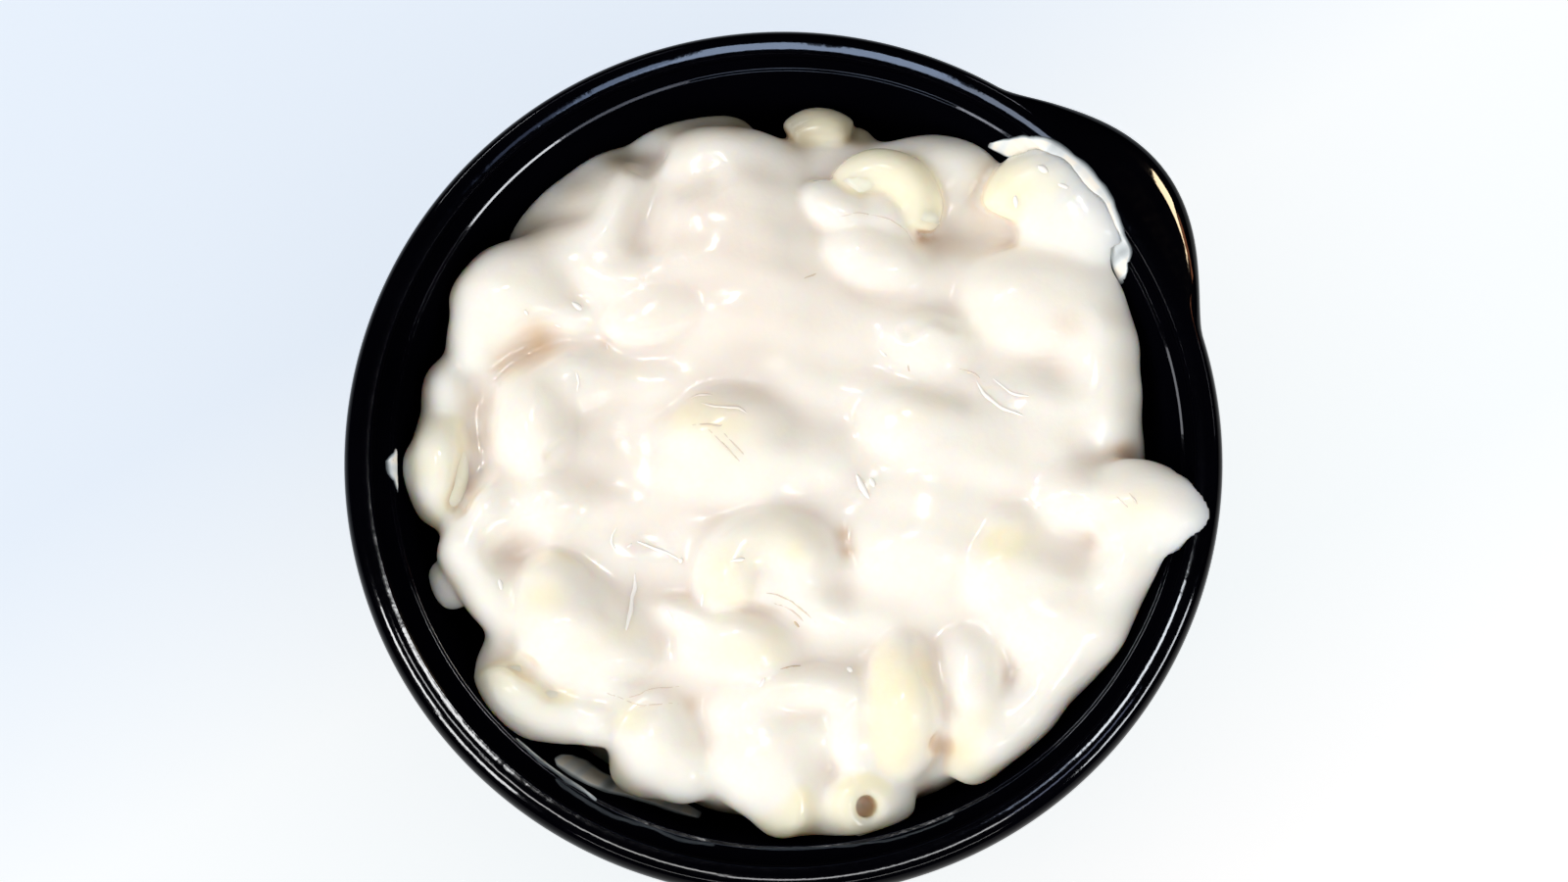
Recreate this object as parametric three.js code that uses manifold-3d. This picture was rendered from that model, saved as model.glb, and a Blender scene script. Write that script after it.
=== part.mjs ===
// Mac and cheese in its round black side bowl.
// Millimetres, +Z up. The origin is the middle of the bowl's foot ring, on the surface it stands on.
// Two pieces: the thermoformed bowl with its thumb tab, and the heap of sauced elbow macaroni in it.

import * as THREE from "three";
import { mergeVertices } from "three/addons/utils/BufferGeometryUtils.js";
import Module from "manifold-3d";

const wasm = await Module();
wasm.setup();

// ---- driving dimensions of the bowl ----
const RIM_RADIUS = 58.5; // outside of the rolled rim
const BOWL_HEIGHT = 40; // foot to rim crest
const WALL = 0.8; // sheet thickness
const FOOT_RADIUS = 40; // outside of the foot ring
const FOOT_WIDTH = 4; // flat width of the foot ring
const FOOT_RISE = 0.8; // how far the floor is raised inside the foot ring
const CREST_RADIUS = 56.45; // middle of the rolled rim, its highest line
const BEAD_FOOT_RADIUS = 54.7; // where the rolled rim meets the lid ledge
const BEAD_DROP = 1.6; // from the crest down to the lid ledge
const LEDGE_RADIUS = 53.2; // inner edge of the lid ledge
const LEDGE_DROP = 2.1; // from the crest down to the inner edge of the ledge
const SKIRT_DROP = 3.4; // from the crest down to the rim's lower edge
const WALL_TOP_RADIUS = 52.8; // inside of the sloping wall, just under the ledge
const WALL_FOOT_RADIUS = 42; // inside of the sloping wall at the base fillet
const WALL_FOOT_HEIGHT = 6;
const WALL_INSET = 0.2; // how far the wall's top stands in from the ledge's underside
const FLOOR_RADIUS = 36.5; // inside flat floor
const FILLET_HEIGHTS = [3.4, 2]; // heights of the inside fillet's corners
const FILLET_FULLNESS = 0.8; // under 1 makes the fillet rounder
const FOOT_FLARE = 1.7; // the foot's outside corner leans out this far over its own height
const FOOT_HEIGHT = 1.2;
const BOWL_SIDES = 56;

// ---- the thumb tab on the rim ----
const TAB_MIDDLE = 38.5; // direction of its peak, degrees from +X
const TAB_HALF_ANGLE = 21; // from the peak to where it meets the rim
const TAB_REACH = 0.102; // peak height beyond the rim, as a share of the rim radius
const TAB_FULLNESS = 0.7; // under 1 makes the hump broader
const TAB_THICKNESS = 0.9;
const TAB_ROOT_WIDTH = 0.2; // the plate's narrowest width, inside the rim's skirt
const TAB_STEPS = 22;

// ---- the food ----
const CLEARANCE = 0.3; // food to bowl
const TUBE_RADIUS = 4.2; // a sauced elbow
const ELBOW_RADIUS = 5.8; // bend of its centreline
const BORE_RADIUS = 1.6; // its hole
const BORE_DEPTH = 4;
const BORE_LEAD = 6; // how far the drill starts outside the cut end
const ELBOW_SIDES = 8;
const ELBOW_STEPS = 6;
const BORE_SIDES = 10;
const LUMP_SIDES = 12;
const LUMP_RINGS = 7;
const CORE_SIDES = 48;
const CORE_INSET = 0.6; // core to wall, so that the other pieces meet the wall first
const CORE_SIDE_HEIGHTS = [0, 0.02, 0.06, 0.1, 0.24, 0.5, 0.74, 0.88, 1]; // shares of its height at the edge
const CORE_TOP_RINGS = [0.93, 0.82, 0.68, 0.5, 0.3, 0.12]; // shares of its radius
const SAUCE_LEVEL = -3.9; // sauce between the pieces in the middle of the heap, from the rim crest
const SAUCE_EDGE_DROP = 4.2; // how much lower the sauce is at its edge
const SIDE_SLOPE = 0.12; // how far the food's side runs out for each millimetre down
const HEADROOM = 12; // space above the rim that the heap may use

// Edge of the food seen from above: direction in degrees, distance from the axis.
const HEAP_EDGE = [
  [0, 48.8], [18, 48.6], [30, 50.4], [45, 49.8], [60, 48], [75, 46.6], [92, 45.4], [106, 46.6], [126, 46.4],
  [142, 46], [156, 46.6], [178, 48.4], [189, 47.4], [197, 44.8], [206, 43], [218, 47.6], [226, 47.4],
  [238, 42.4], [246, 45.2], [262, 46.6], [280, 48.6], [290, 47.4], [310, 48.2], [322, 47.6], [333, 49.4],
  [345, 52.8],
];

// Elbows of macaroni that show. at: middle of the piece. rise: its centreline there, from the rim crest.
// faces: the way its open side looks. tips: 0 lies flat, 90 arches with both ends down, -90 has both ends up.
// bend: degrees of arc. size: its thickness and bend beside the usual one.
const ELBOWS = [
  { at: [15.6, 38.9], rise: -4.4, faces: 243, tips: 18, bend: 150, size: 0.84 },
  { at: [35.8, 38.4], rise: -3.6, faces: 268, tips: 30, bend: 150, size: 0.95 },
  { at: [-36.2, 23.4], rise: -6.2, faces: 268, tips: 55, bend: 130, size: 1.1 },
  { at: [-17.0, 19.2], rise: -5.9, faces: 290, tips: 80, bend: 100 },
  { at: [-45.8, -1.4], rise: -7.2, faces: 2, tips: 72, bend: 115 },
  { at: [-44.6, 10.2], rise: -8.6, faces: 20, tips: 60, bend: 80 },
  { at: [-33.4, 5.4], rise: -5.6, faces: 355, tips: 78, bend: 110, size: 1.1 },
  { at: [-7.2, 4.2], rise: -4.7, faces: 270, tips: 50, bend: 150, size: 1.05 },
  { at: [-1.5, -12.0], rise: -4.4, faces: 272, tips: 6, bend: 180 },
  { at: [-5.8, -25.0], rise: -5.6, faces: 258, tips: 70, bend: 110 },
  { at: [-29.4, -22.8], rise: -4.8, faces: 48, tips: 24, bend: 160 },
  { at: [-41.0, -12.4], rise: -7.2, faces: 8, tips: 62, bend: 115 },
  { at: [-33.6, -32.8], rise: -7.6, faces: 62, tips: 15, bend: 100 },
  { at: [-18.2, -37.4], rise: -7.0, faces: 175, tips: 75, bend: 110 },
  { at: [3.0, -31.4], rise: -5.2, faces: 272, tips: 72, bend: 100, size: 0.95 },
  { at: [15.2, -33.0], rise: -4.4, faces: 178, tips: 68, bend: 140, size: 1.1 },
  { at: [5.2, -45.8], rise: -9.6, faces: 270, tips: -80, bend: 140 },
  { at: [26.0, -35.6], rise: -6.5, faces: 185, tips: 72, bend: 110 },
  { at: [40.0, -21.6], rise: -4.7, faces: 218, tips: 72, bend: 110 },
  { at: [29.2, -12.8], rise: -4.9, faces: 328, tips: 78, bend: 110 },
  { at: [48.6, -7.4], rise: -2.7, faces: 262, tips: 40, bend: 100 },
  { at: [38.2, -5.0], rise: -4.8, faces: 250, tips: 66, bend: 110 },
  { at: [17.6, 4.8], rise: -5.2, faces: 268, tips: 50, bend: 150 },
  { at: [27.0, -0.6], rise: -5.4, faces: 300, tips: 70, bend: 110 },
  { at: [19.6, 15.6], rise: -5.4, faces: 270, tips: 62, bend: 120 },
  { at: [12.2, 27.8], rise: -5.1, faces: 264, tips: 68, bend: 115, size: 1.1 },
  { at: [31.6, 22.6], rise: -4.7, faces: 268, tips: 60, bend: 130 },
  { at: [42.4, 20.0], rise: -5.8, faces: 184, tips: 58, bend: 130 },
  { at: [42.0, 8.4], rise: -5.8, faces: 200, tips: 70, bend: 110 },
  { at: [4.9, 46.6], rise: -9.6, faces: 272, tips: 20, bend: 70, size: 0.8 },
  { at: [33.8, -27.2], rise: -5.3, faces: 50, tips: 70, bend: 110 },
  { at: [24.6, -28.0], rise: -5.5, faces: 178, tips: 75, bend: 110 },
  { at: [17.0, -9.0], rise: -5.2, faces: 70, tips: 64, bend: 130 },
  { at: [-28.6, -8.6], rise: -6.6, faces: 100, tips: 70, bend: 120 },
  { at: [-13.2, -31.4], rise: -6.6, faces: 200, tips: 60, bend: 120 },
];

// Lumps of sauce over whole pieces. at: middle. rise: its top, from the rim crest. half: half sizes along
// its own length, its width and its height. turn: direction of its length, degrees from +X.
const LUMPS = [
  { at: [-7.5, 33.2], rise: -0.8, half: [12.5, 10.8, 7], turn: 90 },
  { at: [-8.5, 42.2], rise: -2.4, half: [8.6, 4.6, 6], turn: 0 },
  { at: [-28.0, 37.6], rise: -9.2, half: [11, 5.2, 4], turn: 38 },
  { at: [-15.0, 44.0], rise: -9.4, half: [9, 5.4, 4], turn: 15 },
  { at: [-2.0, -39.9], rise: -1.8, half: [8.6, 8.4, 6], turn: 90 },
  { at: [35.6, 20.6], rise: -0.5, half: [11.5, 8.2, 5], turn: 30 },
  { at: [34.0, -19.4], rise: -0.8, half: [12, 8.5, 5], turn: 120 },
  { at: [45.2, -15.4], rise: -0.4, half: [8.5, 5, 6], turn: 52 },
  { at: [21.0, 40.3], rise: -3.8, half: [9.5, 6, 5.5], turn: 4 },
  { at: [40.6, 34.8], rise: 0.6, half: [9, 4.6, 4], turn: 130 },
  { at: [49.6, -7.4], rise: 1.4, half: [7, 6, 4.5], turn: 168 },
  { at: [-44.6, -16.2], rise: -8.4, half: [3.5, 3.5, 3], turn: 0 },
  { at: [10.4, -45.6], rise: -4.6, half: [7.2, 5.2, 4.5], turn: 8 },
  { at: [-24.2, 31.8], rise: -2.3, half: [8.5, 5.5, 5], turn: 66 },
  { at: [-40.8, 18.0], rise: -3.2, half: [8, 4.8, 6], turn: 84 },
  { at: [-28.5, 10.6], rise: -2.5, half: [10.4, 5, 5], turn: 8 },
  { at: [42.6, 13.6], rise: -1.6, half: [13, 5.8, 6], turn: 92 },
  { at: [-25.0, -31.2], rise: -4.2, half: [7, 4, 4], turn: 0 },
  { at: [-13.4, -40.6], rise: -4.0, half: [5.2, 5, 4], turn: 0 },
  { at: [3.6, -20.0], rise: -2.2, half: [6.5, 3.8, 4], turn: 165 },
  { at: [34.5, -32.4], rise: -2.0, half: [9, 4.6, 5], turn: 48 },
];

// Cut ends whose hole shows: which elbow, counted from 0, and which of its two ends.
const OPEN_ENDS = [
  { elbow: 16, end: 1 },
  { elbow: 29, end: -1 },
];

// ---- shared helpers ----
const radians = THREE.MathUtils.degToRad;

// A closed surface as a solid: vertices shared, and the empty triangles on a lathe's axis left out.
function solidOf(geometry) {
  const bare = new THREE.BufferGeometry();
  bare.setAttribute("position", geometry.getAttribute("position"));
  bare.setIndex(geometry.getIndex());
  const merged = mergeVertices(bare, 1e-4);
  const index = merged.getIndex().array;
  const triangles = [];
  for (let i = 0; i < index.length; i += 3) {
    const [a, b, c] = [index[i], index[i + 1], index[i + 2]];
    if (a !== b && b !== c && c !== a) triangles.push(a, b, c);
  }
  const vertProperties = new Float32Array(merged.getAttribute("position").array);
  const triVerts = new Uint32Array(triangles);
  return new wasm.Manifold(new wasm.Mesh({ numProp: 3, vertProperties, triVerts }));
}

// The outer skin of the largest piece, so that no loose scrap and no sealed hollow is left.
function largestPiece(solid) {
  const pieces = solid.decompose();
  return pieces.reduce((best, piece) => (piece.volume() > best.volume() ? piece : best));
}

function meshOf(name, solid, material) {
  const { vertProperties, triVerts } = solid.getMesh();
  const geometry = new THREE.BufferGeometry();
  geometry.setAttribute("position", new THREE.BufferAttribute(vertProperties, 3));
  geometry.setIndex(new THREE.BufferAttribute(triVerts, 1));
  geometry.computeVertexNormals();
  const mesh = new THREE.Mesh(geometry, material);
  mesh.name = name;
  return mesh;
}

// A stretch of an ellipse in the lathe's profile, ends included, with angles in degrees.
function ellipseArc(middle, halfWidth, halfHeight, from, to, steps) {
  return Array.from({ length: steps + 1 }, (_, i) => {
    const angle = radians(from + ((to - from) * i) / steps);
    return [middle[0] + halfWidth * Math.cos(angle), middle[1] + halfHeight * Math.sin(angle)];
  });
}

// A solid of revolution about Z from [radius, height] points, anticlockwise with the axis on the left.
function revolve(profile, sides) {
  const points = profile.map(([radius, height]) => new THREE.Vector2(radius, height));
  return new THREE.LatheGeometry(points, sides).rotateX(Math.PI / 2);
}

// ---- the bowl ----
// Inside radius of the bowl's wall at a height below the ledge.
function wallRadius(height) {
  const share = (height - WALL_FOOT_HEIGHT) / (BOWL_HEIGHT - 2 * LEDGE_DROP - WALL_FOOT_HEIGHT);
  const slope = WALL_FOOT_RADIUS + (WALL_TOP_RADIUS - WALL_INSET - WALL_FOOT_RADIUS) * share;
  if (height >= WALL_FOOT_HEIGHT) return slope;
  const floor = FOOT_RISE + WALL;
  const fillet = (height - floor) / (WALL_FOOT_HEIGHT - floor);
  const roundness = Math.sin((Math.PI / 2) * Math.max(0, fillet)) ** FILLET_FULLNESS;
  return FLOOR_RADIUS + (WALL_FOOT_RADIUS - FLOOR_RADIUS) * roundness;
}

function bowlSheet() {
  const ledge = BOWL_HEIGHT - LEDGE_DROP;
  const beadFoot = BOWL_HEIGHT - BEAD_DROP;
  const skirt = BOWL_HEIGHT - SKIRT_DROP;
  const beadHalf = CREST_RADIUS - BEAD_FOOT_RADIUS;
  const outside = [
    [0, FOOT_RISE],
    [FOOT_RADIUS - FOOT_WIDTH - FOOT_RISE, FOOT_RISE],
    [FOOT_RADIUS - FOOT_WIDTH, 0],
    [FOOT_RADIUS, 0],
    [FOOT_RADIUS + FOOT_FLARE, FOOT_HEIGHT],
    [WALL_FOOT_RADIUS + WALL, WALL_FOOT_HEIGHT - 2 * WALL],
    [WALL_TOP_RADIUS + WALL, ledge - LEDGE_DROP],
    [LEDGE_RADIUS + WALL, ledge - WALL],
    [BEAD_FOOT_RADIUS + WALL, beadFoot - WALL],
    ...ellipseArc([CREST_RADIUS, beadFoot - WALL], beadHalf - WALL, BEAD_DROP, 150, 90, 2),
    [RIM_RADIUS - WALL, beadFoot - WALL],
    [RIM_RADIUS - WALL, skirt],
    [RIM_RADIUS, skirt],
  ];
  const rim = [
    ...ellipseArc([CREST_RADIUS, skirt + WALL], RIM_RADIUS - CREST_RADIUS, SKIRT_DROP - WALL, 0, 90, 4),
    ...ellipseArc([CREST_RADIUS, beadFoot], beadHalf, BEAD_DROP, 90, 180, 4).slice(1),
  ];
  const inside = [
    [LEDGE_RADIUS, ledge],
    [WALL_TOP_RADIUS, ledge - LEDGE_DROP / 2],
    [wallRadius(WALL_FOOT_HEIGHT), WALL_FOOT_HEIGHT],
    ...FILLET_HEIGHTS.map((height) => [wallRadius(height), height]),
    [FLOOR_RADIUS, FOOT_RISE + WALL],
    [0, FOOT_RISE + WALL],
  ];
  return solidOf(revolve([...outside, ...rim, ...inside], BOWL_SIDES));
}

// The tab's outline bulges from the rim in one hump, and its root lies inside the rim's skirt.
function thumbTab() {
  const root = RIM_RADIUS - WALL / 2;
  const inner = root - TAB_ROOT_WIDTH;
  const outline = [];
  for (let i = 0; i <= TAB_STEPS; i += 1) {
    const share = (2 * i) / TAB_STEPS - 1;
    const hump = (0.5 + 0.5 * Math.cos(Math.PI * share)) ** TAB_FULLNESS;
    const reach = root + (RIM_RADIUS * TAB_REACH + RIM_RADIUS - root) * hump;
    const angle = radians(TAB_MIDDLE + TAB_HALF_ANGLE * share);
    outline.push(new THREE.Vector2(reach * Math.cos(angle), reach * Math.sin(angle)));
  }
  for (let i = TAB_STEPS - 1; i > 0; i -= 1) {
    const angle = radians(TAB_MIDDLE + TAB_HALF_ANGLE * ((2 * i) / TAB_STEPS - 1));
    outline.push(new THREE.Vector2(inner * Math.cos(angle), inner * Math.sin(angle)));
  }
  const settings = { depth: TAB_THICKNESS, bevelEnabled: false };
  const plate = new THREE.ExtrudeGeometry(new THREE.Shape(outline), settings);
  return solidOf(plate.translate(0, 0, BOWL_HEIGHT - SKIRT_DROP));
}

// ---- the heap of macaroni ----
// The centreline of an elbow: an arc through its middle, bent towards its open side.
class ElbowLine extends THREE.Curve {
  constructor({ at, rise, faces, tips, bend, size = 1 }) {
    super();
    this.middle = new THREE.Vector3(at[0], at[1], BOWL_HEIGHT + rise);
    this.along = new THREE.Vector3(-Math.sin(radians(faces)), Math.cos(radians(faces)), 0);
    const level = Math.cos(radians(tips));
    const drop = -Math.sin(radians(tips));
    this.inward = new THREE.Vector3(Math.cos(radians(faces)) * level, Math.sin(radians(faces)) * level, drop);
    this.halfBend = radians(bend / 2);
    this.radius = ELBOW_RADIUS * size;
  }

  getPoint(share, target = new THREE.Vector3()) {
    const angle = this.halfBend * (2 * share - 1);
    target.copy(this.middle);
    target.addScaledVector(this.inward, this.radius * (1 - Math.cos(angle)));
    return target.addScaledVector(this.along, this.radius * Math.sin(angle));
  }
}

function elbow(piece) {
  const section = new THREE.Shape();
  section.absarc(0, 0, TUBE_RADIUS * (piece.size ?? 1), 0, 2 * Math.PI);
  const extrudePath = new ElbowLine(piece);
  const settings = { steps: ELBOW_STEPS, curveSegments: ELBOW_SIDES / 2, bevelEnabled: false, extrudePath };
  return solidOf(new THREE.ExtrudeGeometry(section, settings));
}

function lump({ at, rise, half, turn }) {
  const ball = new THREE.SphereGeometry(1, LUMP_SIDES, LUMP_RINGS).rotateX(Math.PI / 2);
  ball.scale(...half).rotateZ(radians(turn));
  return solidOf(ball.translate(at[0], at[1], BOWL_HEIGHT + rise - half[2]));
}

// A blind hole down the end of an elbow, with a short lead outside it.
function bore({ elbow: number, end }) {
  const line = new ElbowLine(ELBOWS[number]);
  const mouth = line.getPoint(end > 0 ? 1 : 0);
  const outward = line.getTangent(end > 0 ? 1 : 0).multiplyScalar(end);
  const length = BORE_DEPTH + BORE_LEAD;
  const drill = new THREE.CylinderGeometry(BORE_RADIUS, BORE_RADIUS, length, BORE_SIDES);
  drill.applyQuaternion(new THREE.Quaternion().setFromUnitVectors(new THREE.Vector3(0, 1, 0), outward));
  const middle = mouth.addScaledVector(outward, length / 2 - BORE_DEPTH);
  return solidOf(drill.translate(middle.x, middle.y, middle.z));
}

// Distance of the food's edge from the axis in any direction, smooth between the given directions.
function heapEdge(angle) {
  const turn = ((angle % 360) + 360) % 360;
  const count = HEAP_EDGE.length;
  let next = HEAP_EDGE.findIndex(([degrees]) => degrees > turn);
  if (next < 0) next = count;
  const [fromAngle, fromRadius] = HEAP_EDGE[next - 1];
  const [toAngle, toRadius] = next < count ? HEAP_EDGE[next] : [360, HEAP_EDGE[0][1]];
  const share = (turn - fromAngle) / (toAngle - fromAngle);
  return fromRadius + (toRadius - fromRadius) * (0.5 - 0.5 * Math.cos(Math.PI * share));
}

// The sauce body between the pieces. It fills the bowl below, narrows to the food's edge above,
// and its top falls gently from the middle to the edge.
function core() {
  const edgeHeight = BOWL_HEIGHT + SAUCE_LEVEL - SAUCE_EDGE_DROP;
  const floor = FOOT_RISE + WALL + CLEARANCE;
  const heights = CORE_SIDE_HEIGHTS.map((share) => floor + (edgeHeight - floor) * share);
  const edge = wallRadius(edgeHeight) - CORE_INSET;
  const profile = [
    [0, floor],
    ...heights.map((height) => [wallRadius(height) - CORE_INSET, height]),
    ...CORE_TOP_RINGS.map((share) => [edge * share, edgeHeight]),
    [0, edgeHeight],
  ];
  const body = revolve(profile, CORE_SIDES);
  const place = body.getAttribute("position");
  for (let i = 0; i < place.count; i += 1) {
    const [x, y, z] = [place.getX(i), place.getY(i), place.getZ(i)];
    const radius = Math.hypot(x, y);
    const angle = THREE.MathUtils.radToDeg(Math.atan2(y, x));
    const limit = heapEdge(angle) + (edgeHeight - z) * SIDE_SLOPE;
    const onTop = z > edgeHeight - 0.01;
    const share = radius / edge;
    const pull = onTop ? Math.min(1, limit / edge) : Math.min(1, limit / Math.max(radius, 1));
    const lift = onTop ? SAUCE_EDGE_DROP * (1 - share ** 3) : 0;
    place.setXYZ(i, x * pull, y * pull, z + lift);
  }
  return solidOf(body);
}

// The space the food may fill: inside the bowl, clear of it, and open above the rim.
function freeSpace() {
  const top = BOWL_HEIGHT + HEADROOM;
  const ledge = BOWL_HEIGHT - LEDGE_DROP + CLEARANCE;
  const beadFoot = BOWL_HEIGHT - BEAD_DROP + CLEARANCE;
  const clearFillet = [...FILLET_HEIGHTS.toReversed(), WALL_FOOT_HEIGHT]
    .map((height) => [wallRadius(height) - CORE_INSET - WALL_INSET, height]);
  const clearBead = CREST_RADIUS - BEAD_FOOT_RADIUS + CLEARANCE;
  const crest = [CREST_RADIUS, beadFoot - CLEARANCE];
  const clearCrest = ellipseArc(crest, clearBead, BEAD_DROP + CLEARANCE, 165, 90, 4);
  const profile = [
    [0, FOOT_RISE + WALL + CLEARANCE],
    [FLOOR_RADIUS - CORE_INSET, FOOT_RISE + WALL + CLEARANCE],
    ...clearFillet,
    [WALL_TOP_RADIUS - WALL_INSET - CLEARANCE, ledge - LEDGE_DROP / 2 - CLEARANCE],
    [LEDGE_RADIUS - CLEARANCE, ledge],
    ...clearCrest,
    [RIM_RADIUS, BOWL_HEIGHT + CLEARANCE],
    [RIM_RADIUS, top],
    [0, top],
  ];
  return solidOf(revolve(profile, BOWL_SIDES));
}

function macAndCheese() {
  const pieces = [core(), ...ELBOWS.map(elbow), ...LUMPS.map(lump)];
  const fused = wasm.Manifold.union(pieces).intersect(freeSpace());
  const drilled = OPEN_ENDS.map(bore).reduce((body, drill) => body.subtract(drill), fused);
  return largestPiece(drilled);
}

// ---- materials and the finished group ----
const blackPlastic = new THREE.MeshStandardMaterial({ color: 0x08080c, roughness: 0.16, metalness: 0 });
const cheeseSauce = new THREE.MeshStandardMaterial({ color: 0xf6ecd6, roughness: 0.35, metalness: 0 });

const group = new THREE.Group();
group.add(meshOf("bowl", largestPiece(bowlSheet().add(thumbTab())), blackPlastic));
group.add(meshOf("mac_and_cheese", macAndCheese(), cheeseSauce));

export default group;
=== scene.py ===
# Mac and cheese in a round black side bowl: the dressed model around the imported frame.
# Lengths in the tables are millimetres, turned into metres as each mesh is made. Angles are degrees.

import math

import bmesh
import bpy
import numpy as np
from mathutils import Matrix, Vector


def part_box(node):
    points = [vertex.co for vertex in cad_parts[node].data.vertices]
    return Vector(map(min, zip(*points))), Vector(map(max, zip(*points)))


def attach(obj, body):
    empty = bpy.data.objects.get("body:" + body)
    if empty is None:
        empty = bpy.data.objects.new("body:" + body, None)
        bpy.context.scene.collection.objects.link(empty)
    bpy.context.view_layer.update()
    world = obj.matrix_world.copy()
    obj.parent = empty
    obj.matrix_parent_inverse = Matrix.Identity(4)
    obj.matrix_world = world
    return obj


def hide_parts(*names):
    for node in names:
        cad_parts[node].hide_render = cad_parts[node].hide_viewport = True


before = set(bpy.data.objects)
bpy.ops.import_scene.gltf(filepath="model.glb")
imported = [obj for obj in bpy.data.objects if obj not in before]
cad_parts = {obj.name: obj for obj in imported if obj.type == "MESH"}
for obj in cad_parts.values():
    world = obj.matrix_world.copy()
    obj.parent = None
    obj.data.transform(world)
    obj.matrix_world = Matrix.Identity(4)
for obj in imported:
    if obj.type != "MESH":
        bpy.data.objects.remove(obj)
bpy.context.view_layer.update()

MM = 0.001

# ---- the bowl, from the frame ----
BOWL_LOW, BOWL_HIGH = (np.array(corner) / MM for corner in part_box("bowl"))
RIM = float(BOWL_HIGH[0])  # outside radius of the rolled rim
EDGE = RIM + 0.2  # the rim's outline as the photo shows it
HEIGHT = float(BOWL_HIGH[2])  # foot to rim crest
WALL = 0.8
FOOT_RISE = 0.8
CREST = RIM - 2.3  # radius of the rim's highest line
TOP_CURVE = 13.5  # the rim's top is nearly flat: in section, part of a circle this large
TOP_INNER = -4.6  # how its inner and outer ends lean, outward over zero
TOP_OUTER = 5.2
CORNER = 0.42  # the tight bend inside the top
BEAD_FOOT = RIM - 3.8  # where the rim meets the lid ledge
BEAD_DROP = 1.6
LEDGE = RIM - 5.8  # the lip at the inner edge of the lid ledge
LEDGE_SHIFT = 0.71  # the lip sits off centre by this much, toward a direction
LEDGE_TOWARD = 44.0
LEDGE_DROP = 2.1
SKIRT_DROP = 3.4
WALL_TOP = RIM - 6.2  # inside radius of the wall at its top
WALL_FOOT = 42.0  # and just above the floor's round edge
WALL_FOOT_HEIGHT = 6.0
FLOOR_RADIUS = 36.5
TAB_MIDDLE = 38.0
TAB_HALF_ANGLE = 21.8
TAB_REACH = 0.109
TAB_FULLNESS = 0.7
TAB_SLOPE = 9.5  # how the tab leans outward, up to its rounded shoulder
TAB_SHOULDER = 0.55  # part of its reach that the shoulder takes
RIM_SHINE = 0.06  # specular level of the black plastic where its shine is full: the rim and the ledge's lip
BOWL_SIDES = 360

# ---- the camera, at the photograph's angle ----
CAMERA_ELEVATION = 79.48
CAMERA_DISTANCE = 500.0
CAMERA_TARGET = (0.08, 1.52, HEIGHT)
CAMERA_LENS = 86.3
SENSOR_WIDTH = 36

# ---- the lights: direction, height, metres off, width, depth, strength, colour, kind ----
# Kinds: "soft" lights the object and isn't mirrored, "rim" is mirrored in the bowl alone, and "wet" in the
# food alone.
LIGHTS = [
    ("key", -44, 36, 0.40, 0.38, 0.25, 2.6, (1.0, 0.985, 0.955), "soft"),
    ("soft_top", -75, 70, 1.0, 1.5, 1.5, 0.32, (1.0, 0.975, 0.955), "soft"),
    ("fill_back", 132, 34, 1.0, 1.2, 0.5, 1.5, (1.0, 0.97, 0.94), "soft"),
    ("fill_left", 208, 30, 1.0, 1.0, 0.5, 5.2, (1.0, 0.97, 0.95), "soft"),
    ("wet_front", -50, 50, 1.0, 0.16, 0.06, 30.0, (1.0, 1.0, 1.0), "wet"),
    ("wet_back", 122, 70, 1.0, 0.10, 0.06, 60.0, (1.0, 1.0, 1.0), "wet"),
    ("wet_left", 165, 62, 1.0, 0.10, 0.05, 60.0, (1.0, 1.0, 1.0), "wet"),
    ("tab_glint", 43, 42, 1.0, 0.12, 0.36, 245.0, (1.0, 0.78, 0.50), "rim"),
    ("tab_glow", 33, 40, 1.0, 0.10, 0.26, 30.0, (1.0, 0.35, 0.16), "rim"),
]

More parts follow.
